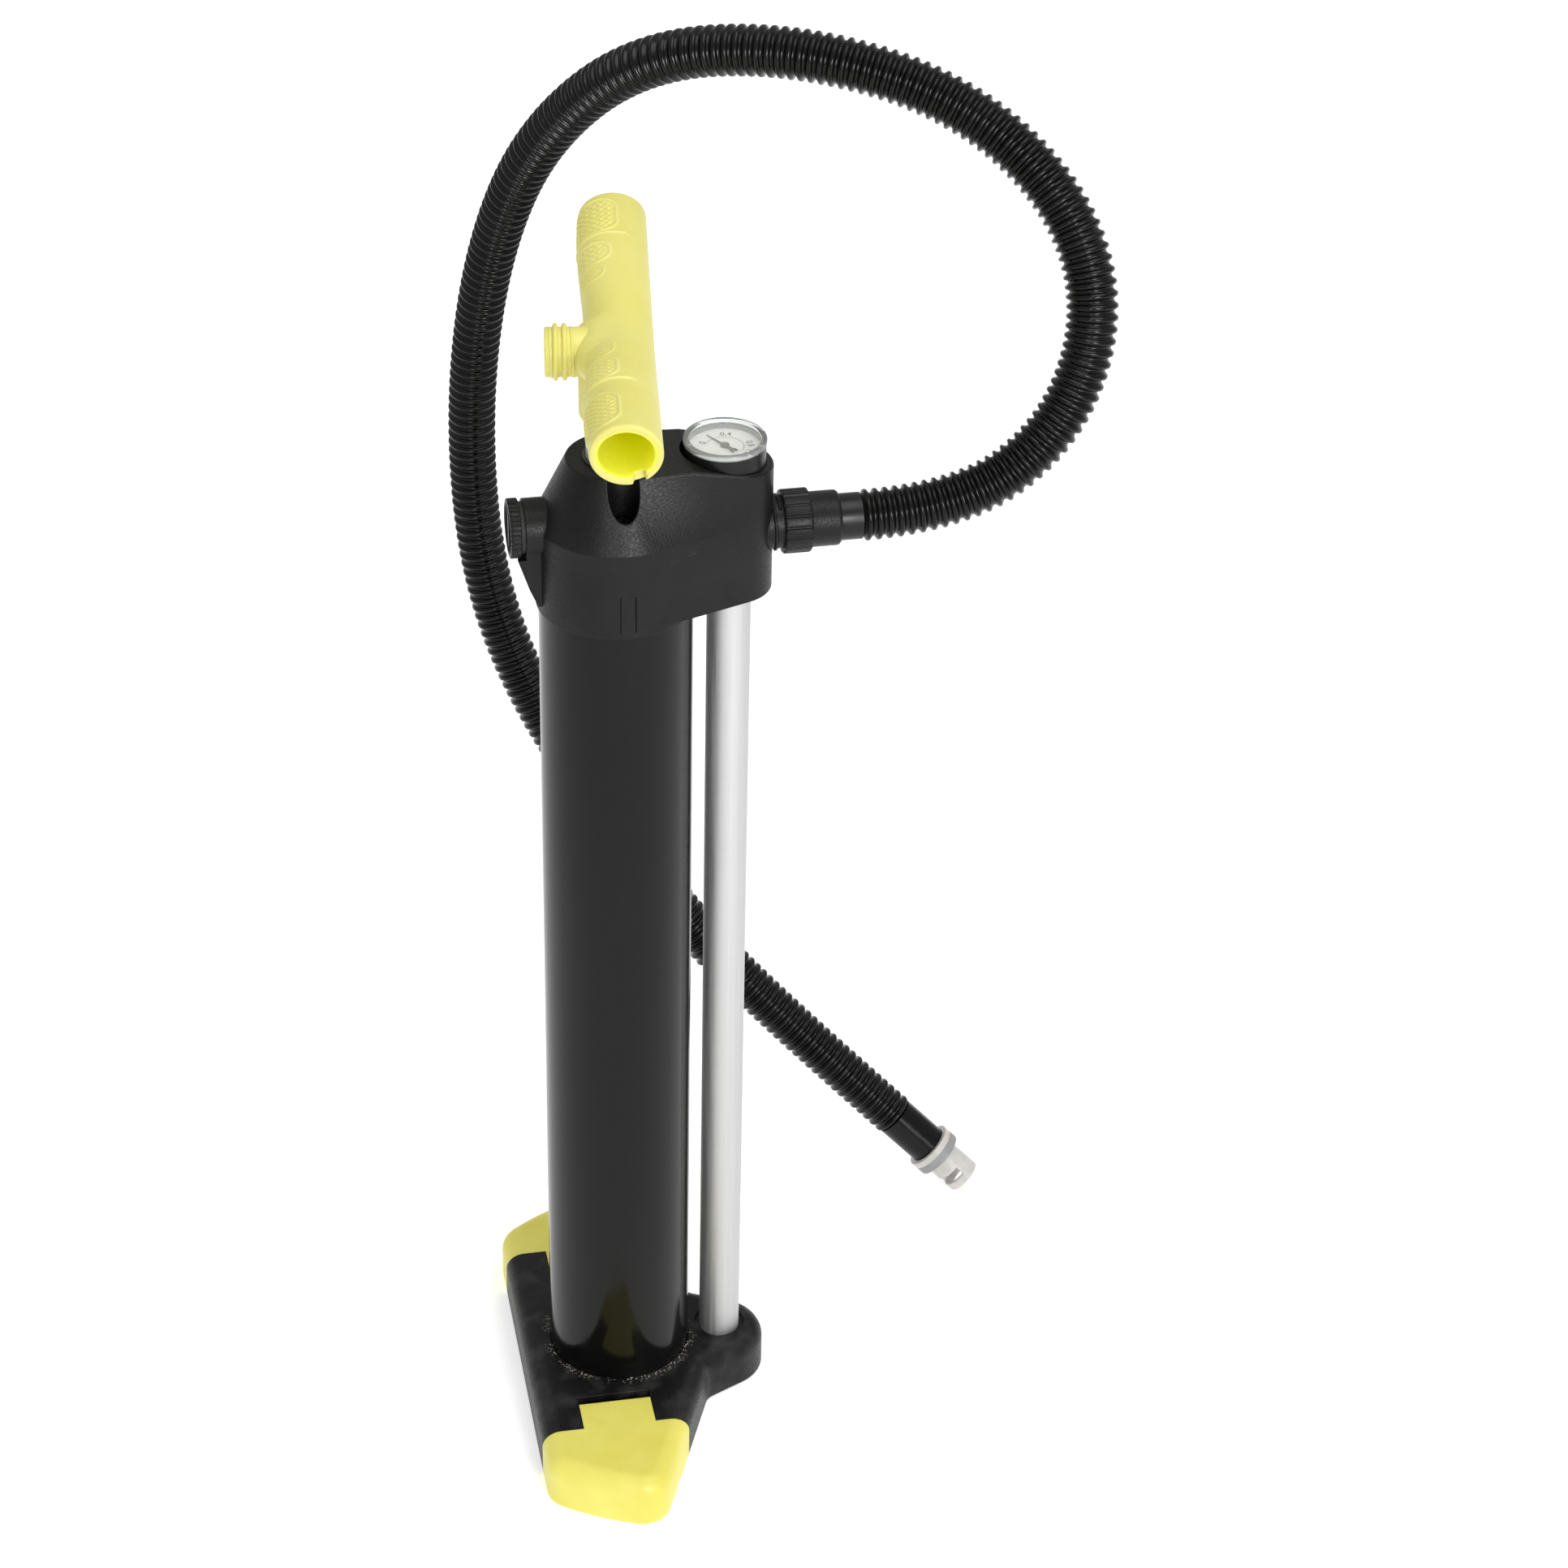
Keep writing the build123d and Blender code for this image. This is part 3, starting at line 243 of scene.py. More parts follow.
def skin(material, grain, depth, edge=0.0, stretch=(1, 1, 1), rough=None):
    """Fine relief of a surface: grain and depth in mm, and edges softened by edge mm.

    rough gives the least and the most roughness that the same grain brings.
    """
    tree = material.node_tree
    noise = add_node(
        tree, "ShaderNodeTexNoise", {"Scale": 1 / (grain * MM), "Detail": 2.0},
        {"Vector": object_space(material, stretch)})
    bump = add_node(
        tree, "ShaderNodeBump", {"Distance": depth * MM}, {"Height": noise.outputs[0]})
    if edge:
        rounded = add_node(tree, "ShaderNodeBevel", {"samples": 4, "Radius": edge * MM})
        tree.links.new(rounded.outputs[0], bump.inputs["Normal"])
    wire(material, "Normal", bump.outputs[0])
    if rough:
        spread = add_node(
            tree, "ShaderNodeMapRange",
            {"From Min": 0.3, "From Max": 0.7, "To Min": rough[0], "To Max": rough[1]},
            {"Value": noise.outputs[0]})
        wire(material, "Roughness", spread.outputs[0])


def moulded_abs(colours):
    """ABS, moulded with a spark-eroded texture: satin black with handling marks and dust."""
    material, colour = patchy(
        "moulded_black_abs", colours.housing, linear("#191919"), (30, 0.4, 0.75), 0.4,
        Specular_IOR_Level=0.2)
    scuffed = cloud(material, object_space(material, (1, 1, 4)), 14, 0.68, 0.76, 0.12, 6.0)
    colour = over(material, colour, linear("#5A5A58"), scuffed)
    wire(material, "Base Color", flecked(material, colour, "#8E8C86", 9, 0.7, 0.12))
    # The real texture is about 0.1 mm across; it is drawn ten times as coarse, so that it shows.
    skin(material, 1.1, 0.15, 0.8, rough=(0.3, 0.52))
    return material


def base_abs(colours):
    """The same ABS on the base, smudged with dust, and dried grit round the barrel's foot."""
    material = moulded_abs(colours)
    material.name = "moulded_black_abs_base"
    tree = material.node_tree
    below = tree.nodes["Principled BSDF"].inputs["Base Color"].links[0].from_socket
    radius = length_of(material, object_space(material, (1, 1, 0)))
    spot = object_space(material)
    reach = add_node(
        tree, "ShaderNodeMapRange",
        {"From Min": 0.115, "From Max": 0.045, "To Max": 0.22}, {"Value": radius}).outputs[0]
    dusty = both(material, reach, cloud(material, spot, 16, 0.47, 0.68, 1.0, 10.0))
    colour = over(material, below, linear("#6B6A68"), dusty)
    near = add_node(
        tree, "ShaderNodeMapRange", {"From Min": 0.046, "From Max": 0.0412}, {"Value": radius})
    caked = both(material, near.outputs[0], cloud(material, spot, 18, 0.43, 0.51))
    grit = both(material, caked, specks(material, spot, 1.1, 0.9, 0.42))
    wire(material, "Base Color", over(material, colour, linear("#C4BBAE"), grit))
    return material


def moulded_polyethylene(name, base, drift, edge):
    """Moulded polyethylene: waxy lemon yellow, a little see-through, with a painted highlight where
    its relief is raised.
    """
    material, colour = patchy(
        name, base, drift, (40, 0.35, 0.7), 0.42, Subsurface_Weight=0.12,
        Subsurface_Scale=0.0015, Subsurface_Radius=(1, 0.9, 0.25))
    scuffed = cloud(material, object_space(material, (3, 1, 1)), 22, 0.62, 0.78, 0.3, 5.0)
    colour = over(material, colour, linear("#DAD070"), scuffed)
    colour = flecked(material, colour, "#A39A4A", 26, 0.6, 0.1)
    tree = material.node_tree
    # Painted highlight: the raised relief is drawn paler, as if light caught its crests.
    raised = add_node(tree, "ShaderNodeAttribute", {"attribute_name": "relief"}).outputs["Fac"]
    crest_highlight = add_node(
        tree, "ShaderNodeMapRange", {"From Min": 0.15, "From Max": 0.6, "To Max": 0.45},
        {"Value": raised}).outputs[0]
    wire(material, "Base Color", over(material, colour, linear("#F3EC96"), crest_highlight))
    # Fine orange peel from the mould, drawn about three times as coarse, so that it shows.
    skin(material, 1.6, 0.03, edge, rough=(0.36, 0.52))
    return material


def bore_wall_painted_glow():
    """The handle's wall seen from its bore: light comes through it, and its colour is painted a
    brighter yellow-green than the outside's, as a painted glow.
    """
    material, colour = patchy(
        "yellow_wall_painted_glow", linear("#F8F35C"), linear("#F0F048"), (18, 0.35, 0.7), 0.4,
        Subsurface_Weight=1.0, Subsurface_Scale=0.02, Subsurface_Radius=(1, 1, 0.15))
    wire(material, "Base Color", flecked(material, colour, "#2E2C1C", 5, 1.5, 0.06))
    skin(material, 1.6, 0.04, rough=(0.34, 0.5))
    return material


def gloss_lacquer(colours):
    """Lacquered aluminium tube: near mirror black with faint smears and dust."""
    material, colour = patchy(
        "gloss_black_lacquer", colours.barrel, linear("#181818"), (50, 0.45, 0.75, 0.6), 0.1,
        (1, 1, 0.3), Specular_IOR_Level=0.2)
    wire(material, "Base Color", flecked(material, colour, "#6E6E6C", 16, 0.6, 0.1))
    # Drawn lengthwise: the tube keeps a trace of its extrusion lines under the lacquer.
    skin(material, 9, 0.02, 0.3, (1, 1, 0.05), rough=(0.07, 0.2))
    return material


def anodised_aluminium(colours):
    """Extruded aluminium, clear anodised: silver grey with hair-fine lengthwise lines."""
    material, colour = patchy(
        "anodised_aluminium", colours.tube, linear("#B4B4B6"), (1.5, 0.35, 0.65, 0.2, 2.0), 0.5,
        (1, 1, 0.01), Metallic=1.0)
    wire(material, "Base Color", flecked(material, colour, "#6A6A6A", 30, 0.9, 0.12))
    skin(material, 1.2, 0.02, 0.3, (1, 1, 0.02), rough=(0.52, 0.64))
    return material


def plated_steel(name, base, bloom):
    """Zinc plated screw steel, clear or black: dull, with cloudy crystals in the plating."""
    material, colour = patchy(name, base, bloom, (1.5, 0.4, 0.6, 0.6), 0.35, Metallic=1.0)
    wire(material, "Base Color", colour)
    skin(material, 0.6, 0.02, 0.2, rough=(0.28, 0.45))
    return material


def turned_brass():
    """Brass, turned: warm yellow metal with rings left by the tool."""
    material, colour = patchy(
        "turned_brass", linear("#C9A95E"), linear("#A98A48"), (3, 0.4, 0.7, 0.5), 0.3,
        Metallic=1.0)
    wire(material, "Base Color", colour)
    skin(material, 0.5, 0.02, 0.2, (0.05, 0.05, 1), rough=(0.24, 0.4))
    return material


def nitrile_rubber():
    """Nitrile rubber, moulded: dull soft black with a grey bloom."""
    material, colour = patchy(
        "nitrile_rubber", linear("#1C1C1C"), linear("#2E2E2D"), (4, 0.45, 0.7, 0.7), 0.7)
    wire(material, "Base Color", colour)
    skin(material, 0.7, 0.03, 0.3, rough=(0.6, 0.78))
    return material


def grey_silicone():
    """Silicone rubber washer: matt mid grey, a little translucent, dusty in patches."""
    material, colour = patchy(
        "grey_silicone", linear("#8F8F90"), linear("#9E9E9E"), (3, 0.45, 0.7, 0.6), 0.55,
        Subsurface_Weight=0.1, Subsurface_Scale=0.001)
    wire(material, "Base Color", colour)
    skin(material, 0.6, 0.03, 0.5, rough=(0.48, 0.64))
    return material


def black_acetal():
    """Acetal, machined: smooth slippery black with faint tool rings."""
    material, colour = patchy(
        "black_acetal", linear("#1E1E1E"), linear("#2A2A2A"), (5, 0.4, 0.7, 0.6), 0.35)
    wire(material, "Base Color", colour)
    skin(material, 0.5, 0.02, 0.4, (0.05, 0.05, 1), rough=(0.3, 0.42))
    return material


def compared(material, value, centre, reach):
    """Mask of where a value lies within reach of a centre."""
    return add_node(
        material.node_tree, "ShaderNodeMath", {"operation": "COMPARE", 1: centre, 2: reach},
        {0: value}).outputs[0]


def printed_dial(centre):
    """Aluminium dial with matt white enamel and a black printed scale."""
    enamel, ink = linear("#ECECEA"), linear("#3C3C3C")
    material = start_material("printed_dial", enamel, 0.55)
    tree = material.node_tree
    spot = add_node(tree, "ShaderNodeTexCoord").outputs["Object"]
    spot = add_node(
        tree, "ShaderNodeMapping", {"Location": (-centre.x, -centre.y, 0), "Scale": (1, 1, 0)},
        {"Vector": spot}).outputs[0]
    parts = add_node(tree, "ShaderNodeSeparateXYZ", None, {0: spot}).outputs
    radius = length_of(material, spot)
    angle = add_node(
        tree, "ShaderNodeMath", {"operation": "ARCTAN2"},
        {0: parts["Y"], 1: parts["X"]}).outputs[0]
    scale = compared(
        material, angle, math.radians((DIAL_START + DIAL_END) / 2),
        math.radians((DIAL_START - DIAL_END) / 2 + 0.25))
    arc = compared(material, radius, 9.6 * MM, 0.14 * MM)
    band = compared(material, radius, 10.2 * MM, 0.7 * MM)
    # Ticks stand at whole steps. The 40 keeps the count above 0 for PINGPONG.
    steps = add_node(
        tree, "ShaderNodeMath",
        {"operation": "MULTIPLY_ADD", 1: 1 / math.radians(DIAL_TICK),
         2: 40 - DIAL_START / DIAL_TICK}, {0: angle})
    share = add_node(
        tree, "ShaderNodeMath", {"operation": "PINGPONG", 1: 0.5}, {0: steps.outputs[0]})
    tick = add_node(
        tree, "ShaderNodeMath", {"operation": "LESS_THAN", 1: 0.07},
        {0: share.outputs[0]}).outputs[0]
    colour = over(material, enamel, linear("#E0E0DE"), cloud(material, spot, 6, 0.4, 0.7, 0.6))
    for print_mask in (arc, both(material, tick, band)):
        colour = over(material, colour, ink, both(material, scale, print_mask))
    wire(material, "Base Color", colour)
    skin(material, 0.4, 0.01, rough=(0.5, 0.62))
    return material


def needle_enamel():
    """Stoved enamel on the needle: matt black with thin worn spots."""
    material, colour = patchy(
        "needle_enamel", linear("#2A2A2A"), linear("#5C5C5C"), (1.5, 0.6, 0.7, 0.5), 0.5)
    wire(material, "Base Color", colour)
    skin(material, 0.3, 0.01, rough=(0.44, 0.56))
    return material


def acrylic_rim():
    """Cast acrylic, clear: bright polished rim with hairline scratches and caught dirt."""
    material, colour = patchy(
        "clear_acrylic", linear("#F4F7F7"), linear("#D9DCDC"), (4, 0.55, 0.75, 0.6), 0.06,
        Transmission_Weight=0.85, IOR=1.49)
    wire(material, "Base Color", flecked(material, colour, "#4A4740", 3, 0.9, 0.2))
    skin(material, 3, 0.01, 0.2, rough=(0.03, 0.14))
    return material


def acrylic_window():
    """The same acrylic as a thin window: all but unseen, with a haze of dust and scratches."""
    material, colour = patchy(
        "clear_acrylic_window", linear("#F2F4F4"), linear("#C9CCCC"), (2.5, 0.5, 0.7, 0.7), 0.05,
        Alpha=0.16)
    wire(material, "Base Color", colour)
    skin(material, 4, 0.01, rough=(0.03, 0.12))
    return material


def gloss_nylon():
    """Glass-filled nylon, moulded: glossy black, smoother than the housing."""
    material, colour = patchy(
        "gloss_black_nylon", linear("#121212"), linear("#1C1C1C"), (12, 0.4, 0.7), 0.32,
        Specular_IOR_Level=0.24)
    wire(material, "Base Color", flecked(material, colour, "#7A7A76", 7, 0.5, 0.08))
    skin(material, 7, 0.02, 0.5, rough=(0.28, 0.38))
    return material


def hose_polyethylene(colours):
    """Extruded corrugated polyethylene: satin black ribs with faint patches and specks."""
    material, colour = patchy(
        "black_polyethylene", colours.hose, linear("#0E0E0E"), (25, 0.4, 0.7), 0.2,
        Specular_IOR_Level=0.22)
    wire(material, "Base Color", flecked(material, colour, "#74726C", 8, 0.5, 0.06))
    skin(material, 4, 0.02, rough=(0.16, 0.26))
    return material


def natural_nylon():
    """Uncoloured nylon: milky off-white that lets light through its thin walls."""
    material, colour = patchy(
        "natural_nylon", linear("#CCCAC5"), linear("#BDBBB5"), (7, 0.4, 0.7), 0.35,
        Subsurface_Weight=0.2, Subsurface_Scale=0.002)
    wire(material, "Base Color", flecked(material, colour, "#8F8D84", 7, 0.5, 0.1))
    skin(material, 0.9, 0.03, 0.5, rough=(0.3, 0.44))
    return material


def main_materials(colours):
    """Material of each slot of the record, and those that only one piece has."""
    return {
        "black_abs": moulded_abs(colours),
        "base_abs": base_abs(colours),
        "yellow_pe": moulded_polyethylene(
            "moulded_yellow_polyethylene", colours.caps, linear("#E4DA5C"), 1.0),
        "handle": moulded_polyethylene(
            "waxy_yellow_polyethylene", colours.handle, linear("#DDD56C"), 0.0),
        "bore": bore_wall_painted_glow(),
        "barrel_black": gloss_lacquer(colours),
        "anodised": anodised_aluminium(colours),
        "steel_screw": plated_steel("zinc_plated_steel", linear("#A8A8A6"), linear("#8A8E92")),
        "black_screw": plated_steel("black_plated_steel", linear("#2A2A2A"), linear("#383838")),
        "brass_fitting": turned_brass(),
        "black_rubber": nitrile_rubber(),
        "grey_rubber": grey_silicone(),
        "bush_acetal": black_acetal(),
        "dial_white": printed_dial(middle("gauge_dial")),
        "needle_black": needle_enamel(),
        "lens_clear": acrylic_rim(),
        "window": acrylic_window(),
        "gauge_black": gloss_nylon(),
        "hose_black": hose_polyethylene(colours),
        "plug_white": natural_nylon(),
    }


def paint(node_name, material):
    """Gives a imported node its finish."""
    for held in frame["nodes"][node_name].material_slots:
        held.material = material


# ---- shapes ---------------------------------------------------------------------------
def turned(bm, outline, steps, place, closed=False):
    """Spins an outline of (radius, height) points in mm about Z and places it.

    Returns its vertices.
    """
    before = set(bm.verts)
    verts = [bm.verts.new((radius * MM, 0, height * MM)) for radius, height in outline]
    edges = [bm.edges.new(pair) for pair in zip(verts, verts[1:])]
    if closed:
        edges.append(bm.edges.new((verts[-1], verts[0])))
    bmesh.ops.spin(
        bm, geom=verts + edges, cent=(0, 0, 0), axis=(0, 0, 1), dvec=(0, 0, 0),
        angle=2 * math.pi, steps=steps, use_merge=True)
    made = [v for v in bm.verts if v not in before]
    bmesh.ops.remove_doubles(bm, verts=made, dist=1e-7)
    made = [v for v in bm.verts if v not in before]
    bmesh.ops.transform(bm, matrix=place, verts=made)
    return made


def swept_skin(bm, rows, columns, spot):
    """Skin of rows by columns whose vertices lie at spot(row, column), closed across its columns.

    Returns the row and column of each vertex.
    """
    before = set(bm.verts)
    bmesh.ops.create_grid(bm, x_segments=rows - 1, y_segments=columns, size=1)
    made = [v for v in bm.verts if v not in before]
    cells = {}
    for vert in made:
        row = round((vert.co.x + 1) / 2 * (rows - 1))
        cells[vert] = row, round((vert.co.y + 1) / 2 * columns) % columns
        vert.co = spot(*cells[vert])
    bmesh.ops.remove_doubles(bm, verts=made, dist=1e-8)
    made = [v for v in bm.verts if v not in before]
    rims = list({e for v in made for e in v.link_edges if e.is_boundary})
    bmesh.ops.holes_fill(bm, edges=rims)
    return cells


def groove(verts, place, least, depth_at):
    """Sinks vertices further out than least mm towards the X axis through a place.

    depth_at gives the depth in mm at an angle round that axis, which is 0 at the top.
    """
    for vert in verts:
        off = vert.co - place.translation
        radius = math.hypot(off.y, off.z)
        if radius >= least * MM:
            sunk = depth_at(math.atan2(off.y, off.z))
            vert.co -= Vector((0, off.y, off.z)) * sunk * MM / radius


def screw_thread(bm, place, start, turns, pitch, root, crest, width, begin=0.0):
    """Rounded right-hand thread about Z, in mm, that runs out at both ends.

    begin is the share of a turn at which it starts.
    """
    profile = ((-0.5, -0.3), (-0.36, 0.5), (-0.2, 0.92), (0.2, 0.92), (0.36, 0.5), (0.5, -0.3))
    rows = round(turns * 72) + 1

    def spot(row, column):
        share = row / (rows - 1)
        grown = smooth(0, 0.12 / turns, min(share, 1 - share))
        across, rise = profile[column]
        angle = (begin + share * turns) * 2 * math.pi
        radius = root + (crest - root) * rise * (0.15 + 0.85 * grown)
        height = start + share * turns * pitch + across * width
        return place @ Vector((
            radius * math.cos(angle) * MM, radius * math.sin(angle) * MM, height * MM))

    swept_skin(bm, rows, len(profile), spot)


def finish_piece(bm, name, material, body, flat_over=None):
    """Turns a bmesh into a named, smooth-shaded piece that rides on a body."""
    bmesh.ops.recalc_face_normals(bm, faces=bm.faces)
    data = bpy.data.meshes.new(name)
    bm.to_mesh(data)
    bm.free()
    for face in data.polygons:
        face.use_smooth = True
    if flat_over:
        data.set_sharp_from_angle(angle=math.radians(flat_over))
    data.materials.append(material)
    piece = placed(name, data)
    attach(piece, body)
    return piece


# ---- hose -----------------------------------------------------------------------------
def hose_centreline():
    """Closely spaced points of the smooth spline through the hose's route."""
    data = bpy.data.curves.new("hose_route", "CURVE")
    data.dimensions = "3D"
    data.resolution_u = 64
    spline = data.splines.new("NURBS")
    spline.points.add(len(HOSE_ROUTE) - 1)
    for point, place in zip(spline.points, HOSE_ROUTE):
        point.co = (*place, 1.0)
    spline.order_u = 3
    spline.use_endpoint_u = True
    holder = placed("hose_route", data)
    line = bpy.data.meshes.new_from_object(holder)
    points = [v.co.copy() for v in line.vertices]
    bpy.data.objects.remove(holder)
    bpy.data.meshes.remove(line)
    return points


class Route:
    """Places along a line of points: a matrix at any distance from its start."""

    def __init__(self, points):
        self.points = points
        self.reach = [0.0]
        for a, b in zip(points, points[1:]):
            self.reach.append(self.reach[-1] + (b - a).length)
        self.length = self.reach[-1]
        tangent = (points[1] - points[0]).normalized()
        turn = tangent.to_track_quat("Z", "Y")
        self.turns = [turn]
        for i in range(1, len(points)):
            after = points[min(i + 1, len(points) - 1)]
            fresh = (after - points[i - 1]).normalized()
            turn = tangent.rotation_difference(fresh) @ turn
            tangent = fresh
            self.turns.append(turn)
        self.at = 0

    def place(self, distance):
        """Matrix whose Z runs along the route; distances are asked for in rising order."""
        while self.at < len(self.reach) - 2 and self.reach[self.at + 1] < distance:
            self.at += 1
        span = self.reach[self.at + 1] - self.reach[self.at]
        share = min(max((distance - self.reach[self.at]) / span, 0.0), 1.0)
        spot = self.points[self.at].lerp(self.points[self.at + 1], share)
        turn = self.turns[self.at].slerp(self.turns[self.at + 1], share)
        return Matrix.Translation(spot) @ turn.to_matrix().to_4x4()


def corrugated_tube(route, sizes):
    """Mesh of round ribs along the route, closed at both ends inside its fittings."""
    rib = (
        (0.0, 0.0), (0.2, 0.0), (0.31, 0.45), (0.42, 0.92), (0.56, 1.0), (0.7, 0.92),
        (0.82, 0.45))
    crest = sizes.hose_diameter / 2
    root = sizes.hose_root_diameter / 2
    count = round(route.length / sizes.hose_rib_pitch)
    pitch = route.length / count
    closing = root - 1.5 * MM
    stations = [(0.0, closing)]
    for turn in range(count):
        stations += [((turn + share) * pitch, root + rise * (crest - root)) for share, rise in rib]
    stations += [(route.length, root), (route.length, closing)]
    rings = [(route.place(distance), radius) for distance, radius in stations]
    around = 28

    def spot(row, column):
        place, radius = rings[row]
        angle = column * 2 * math.pi / around
        return place @ Vector((radius * math.cos(angle), radius * math.sin(angle), 0))

    bm = bmesh.new()
    swept_skin(bm, len(rings), around, spot)
    return bm


# ---- handle ---------------------------------------------------------------------------
def dashes(arc, down):
    """Staggered short dashes, in mm across and along the grip: 1 on a dash, 0 between."""
    half_length, half_width = 0.75, 0.85
    row = round(down / DASH_ROW)
    across = arc / DASH_PITCH + (row % 2) / 2
    beside = max(abs(across - round(across)) * DASH_PITCH - half_length, 0)
    return hump(math.hypot(beside, down - row * DASH_ROW) / half_width)


def finger_pad(arc, down, sides, ends, corner, height):
    """Raised outline of a rounded pad with dashes inside it."""
    half_arc = (sides[1] - sides[0]) / 2
    half_down = (ends[1] - ends[0]) / 2
    out_arc = abs(arc - sides[0] - half_arc) - half_arc + corner
    out_down = abs(down - ends[0] - half_down) - half_down + corner
    gap = math.hypot(max(out_arc, 0), max(out_down, 0)) + min(max(out_arc, out_down), 0) - corner
    inside = smooth(-1.2, -2.2, gap)
    return height * (hump(gap / 1.15) + inside * dashes(arc, down))


# Finger pads of a grip as (sides, ends, corner, height) in mm, and how far in its ridge lies.
FRONT_GRIP = (
    ((2.2, 27), (6, 43), 10, 0.7), ((1.7, 24), (60.5, 87), 8.5, 0.6),
    ((3, 22), (90, 109), 7, 0.45))
BACK_GRIP = (
    ((-1.8, 27), (5.5, 36.5), 9, 0.7), ((2.2, 23), (46, 64), 7.5, 0.6),
    ((5.5, 22), (66, 78), 5.5, 0.45))
FRONT_RIDGE, BACK_RIDGE = 57.5, 38.5


def grip_relief(arc, down, back):
    """Height of the moulded pattern in mm: arc is from the top to the spigot, down from the end."""
    height = sum(finger_pad(arc, down, *pad) for pad in (BACK_GRIP if back else FRONT_GRIP))
    past = down - (BACK_RIDGE if back else FRONT_RIDGE)
    side = (0.25 + 0.75 * smooth(-9, -3, arc)) * smooth(-24, -14, arc) * smooth(34, 27, arc)
    step = 0.2 * smooth(-0.8, 0.3, past) * smooth(30, 5, past)
    height += side * (0.7 * hump(past / 1.4) + step)
    nub = 0.4 * hump(math.hypot(arc + 5, past + 1.5) / 2)
    return height + nub


def grip_rows(half, wall, bore_end):
    """Rows of (distance from the hub, depth under the surface), from bore floor to bore floor.

    They lie close together where the grips have their pattern, and further apart at the hub.
    """
    rim = (
        (60, wall), (30, wall), (10, wall), (3, wall), (1.2, wall), (0.45, wall - 0.3),
        (0.1, wall - 0.9), (0, wall - 1.6), (0, 1.6), (0.1, 0.8), (0.45, 0.28), (1.1, 0.05),
        (1.8, 0))
    back = [(bore_end, wall)] + [(half - down, depth) for down, depth in rim]
    fine = [(half - 2.45 - 0.65 * step, 0) for step in range(146)]
    coarse = [(28.6 - 1.1 * step, 0) for step in range(53)]
    end = back + fine
    return end + coarse + [(-reach, depth) for reach, depth in reversed(end)]


def handle_skin(bm, place, sizes):
    """The two upswept oval grips as one hollow-ended skin, with their moulded pattern."""
    half = sizes.grip_half_length / MM
    half_width = sizes.grip_width / 2 / MM
    half_height = sizes.grip_height / 2 / MM
    slope = math.tan(sizes.grip_rise)
    bore_end = 32
    rows = grip_rows(half, sizes.grip_wall / MM, bore_end)
    # The pattern lies on the columns from -0.35 to 1.95 radians.
    patterned, plain = 64, 104
    turns = [-0.35 + 2.3 * step / patterned for step in range(patterned)]
    turns += [1.95 + (2 * math.pi - 2.3) * step / plain for step in range(plain)]
    relief = bm.verts.layers.float.new("relief")
    heights = {}

    def spot(row, column):
        reach, depth = rows[row]
        turn = (turns[column] + math.pi) % (2 * math.pi) - math.pi
        down = half - abs(reach)
        lift = 0.0
        if not depth:
            lift = grip_relief(turn * GRIP_MEAN_RADIUS, down, reach > 0)
            heights[row, column] = lift
            swell = hump((down - 43) / 46) - 0.5 * hump((down - 97) / 22)
            lift += max(math.sin(turn), 0) * swell
        x = -(half_width - depth + lift) * math.sin(turn)
        up = (half_height - depth + lift) * math.cos(turn)
        # The rim's notch: the last 9 mm are pressed into 4, so it is 5 mm deep.
        notch = smooth(3.1, 2.7, abs(x - 0.35 * half_width)) * (up < 0)
        squeezed = max(9 - down, 0) * 5 / 9 * notch
        reach -= math.copysign(squeezed, reach)
        bend = math.hypot(reach, GRIP_BLEND)
        tilt = math.atan(slope * reach / bend)
        y = reach - up * math.sin(tilt)
        z = slope * (bend - GRIP_BLEND) + up * math.cos(tilt)
        # The wall flares into the spigot, and lies inside it within 9.9 mm of its axis.
        if x < 0 and not depth:
            off = math.hypot(y, z)
            x -= 4.5 * (1 - smooth(12.4, 23, off)) * smooth(0, 8, -x)
            x = max(x, -2.0) if off < 9.9 else x
        return place @ Vector(((x + GRIP_SHIFT) * MM, y * MM, z * MM))

    cells = swept_skin(bm, len(rows), len(turns), spot)
    for vert in bm.verts:
        vert[relief] = heights.get(cells.get(vert), 0.0)


def in_bore(spot, sizes):
    """Whether a place in the handle's own frame lies in one of the grips' bores."""
    if abs(spot.y) < 30 * MM:
        return False
    bend = math.hypot(spot.y, GRIP_BLEND * MM)
    off = spot.z - math.tan(sizes.grip_rise) * (bend - GRIP_BLEND * MM)
    within = 0.7 * sizes.grip_wall
    wide = sizes.grip_width / 2 - within
    high = sizes.grip_height / 2 - within
    return math.hypot((spot.x - GRIP_SHIFT * MM) / wide, off / high) < 1


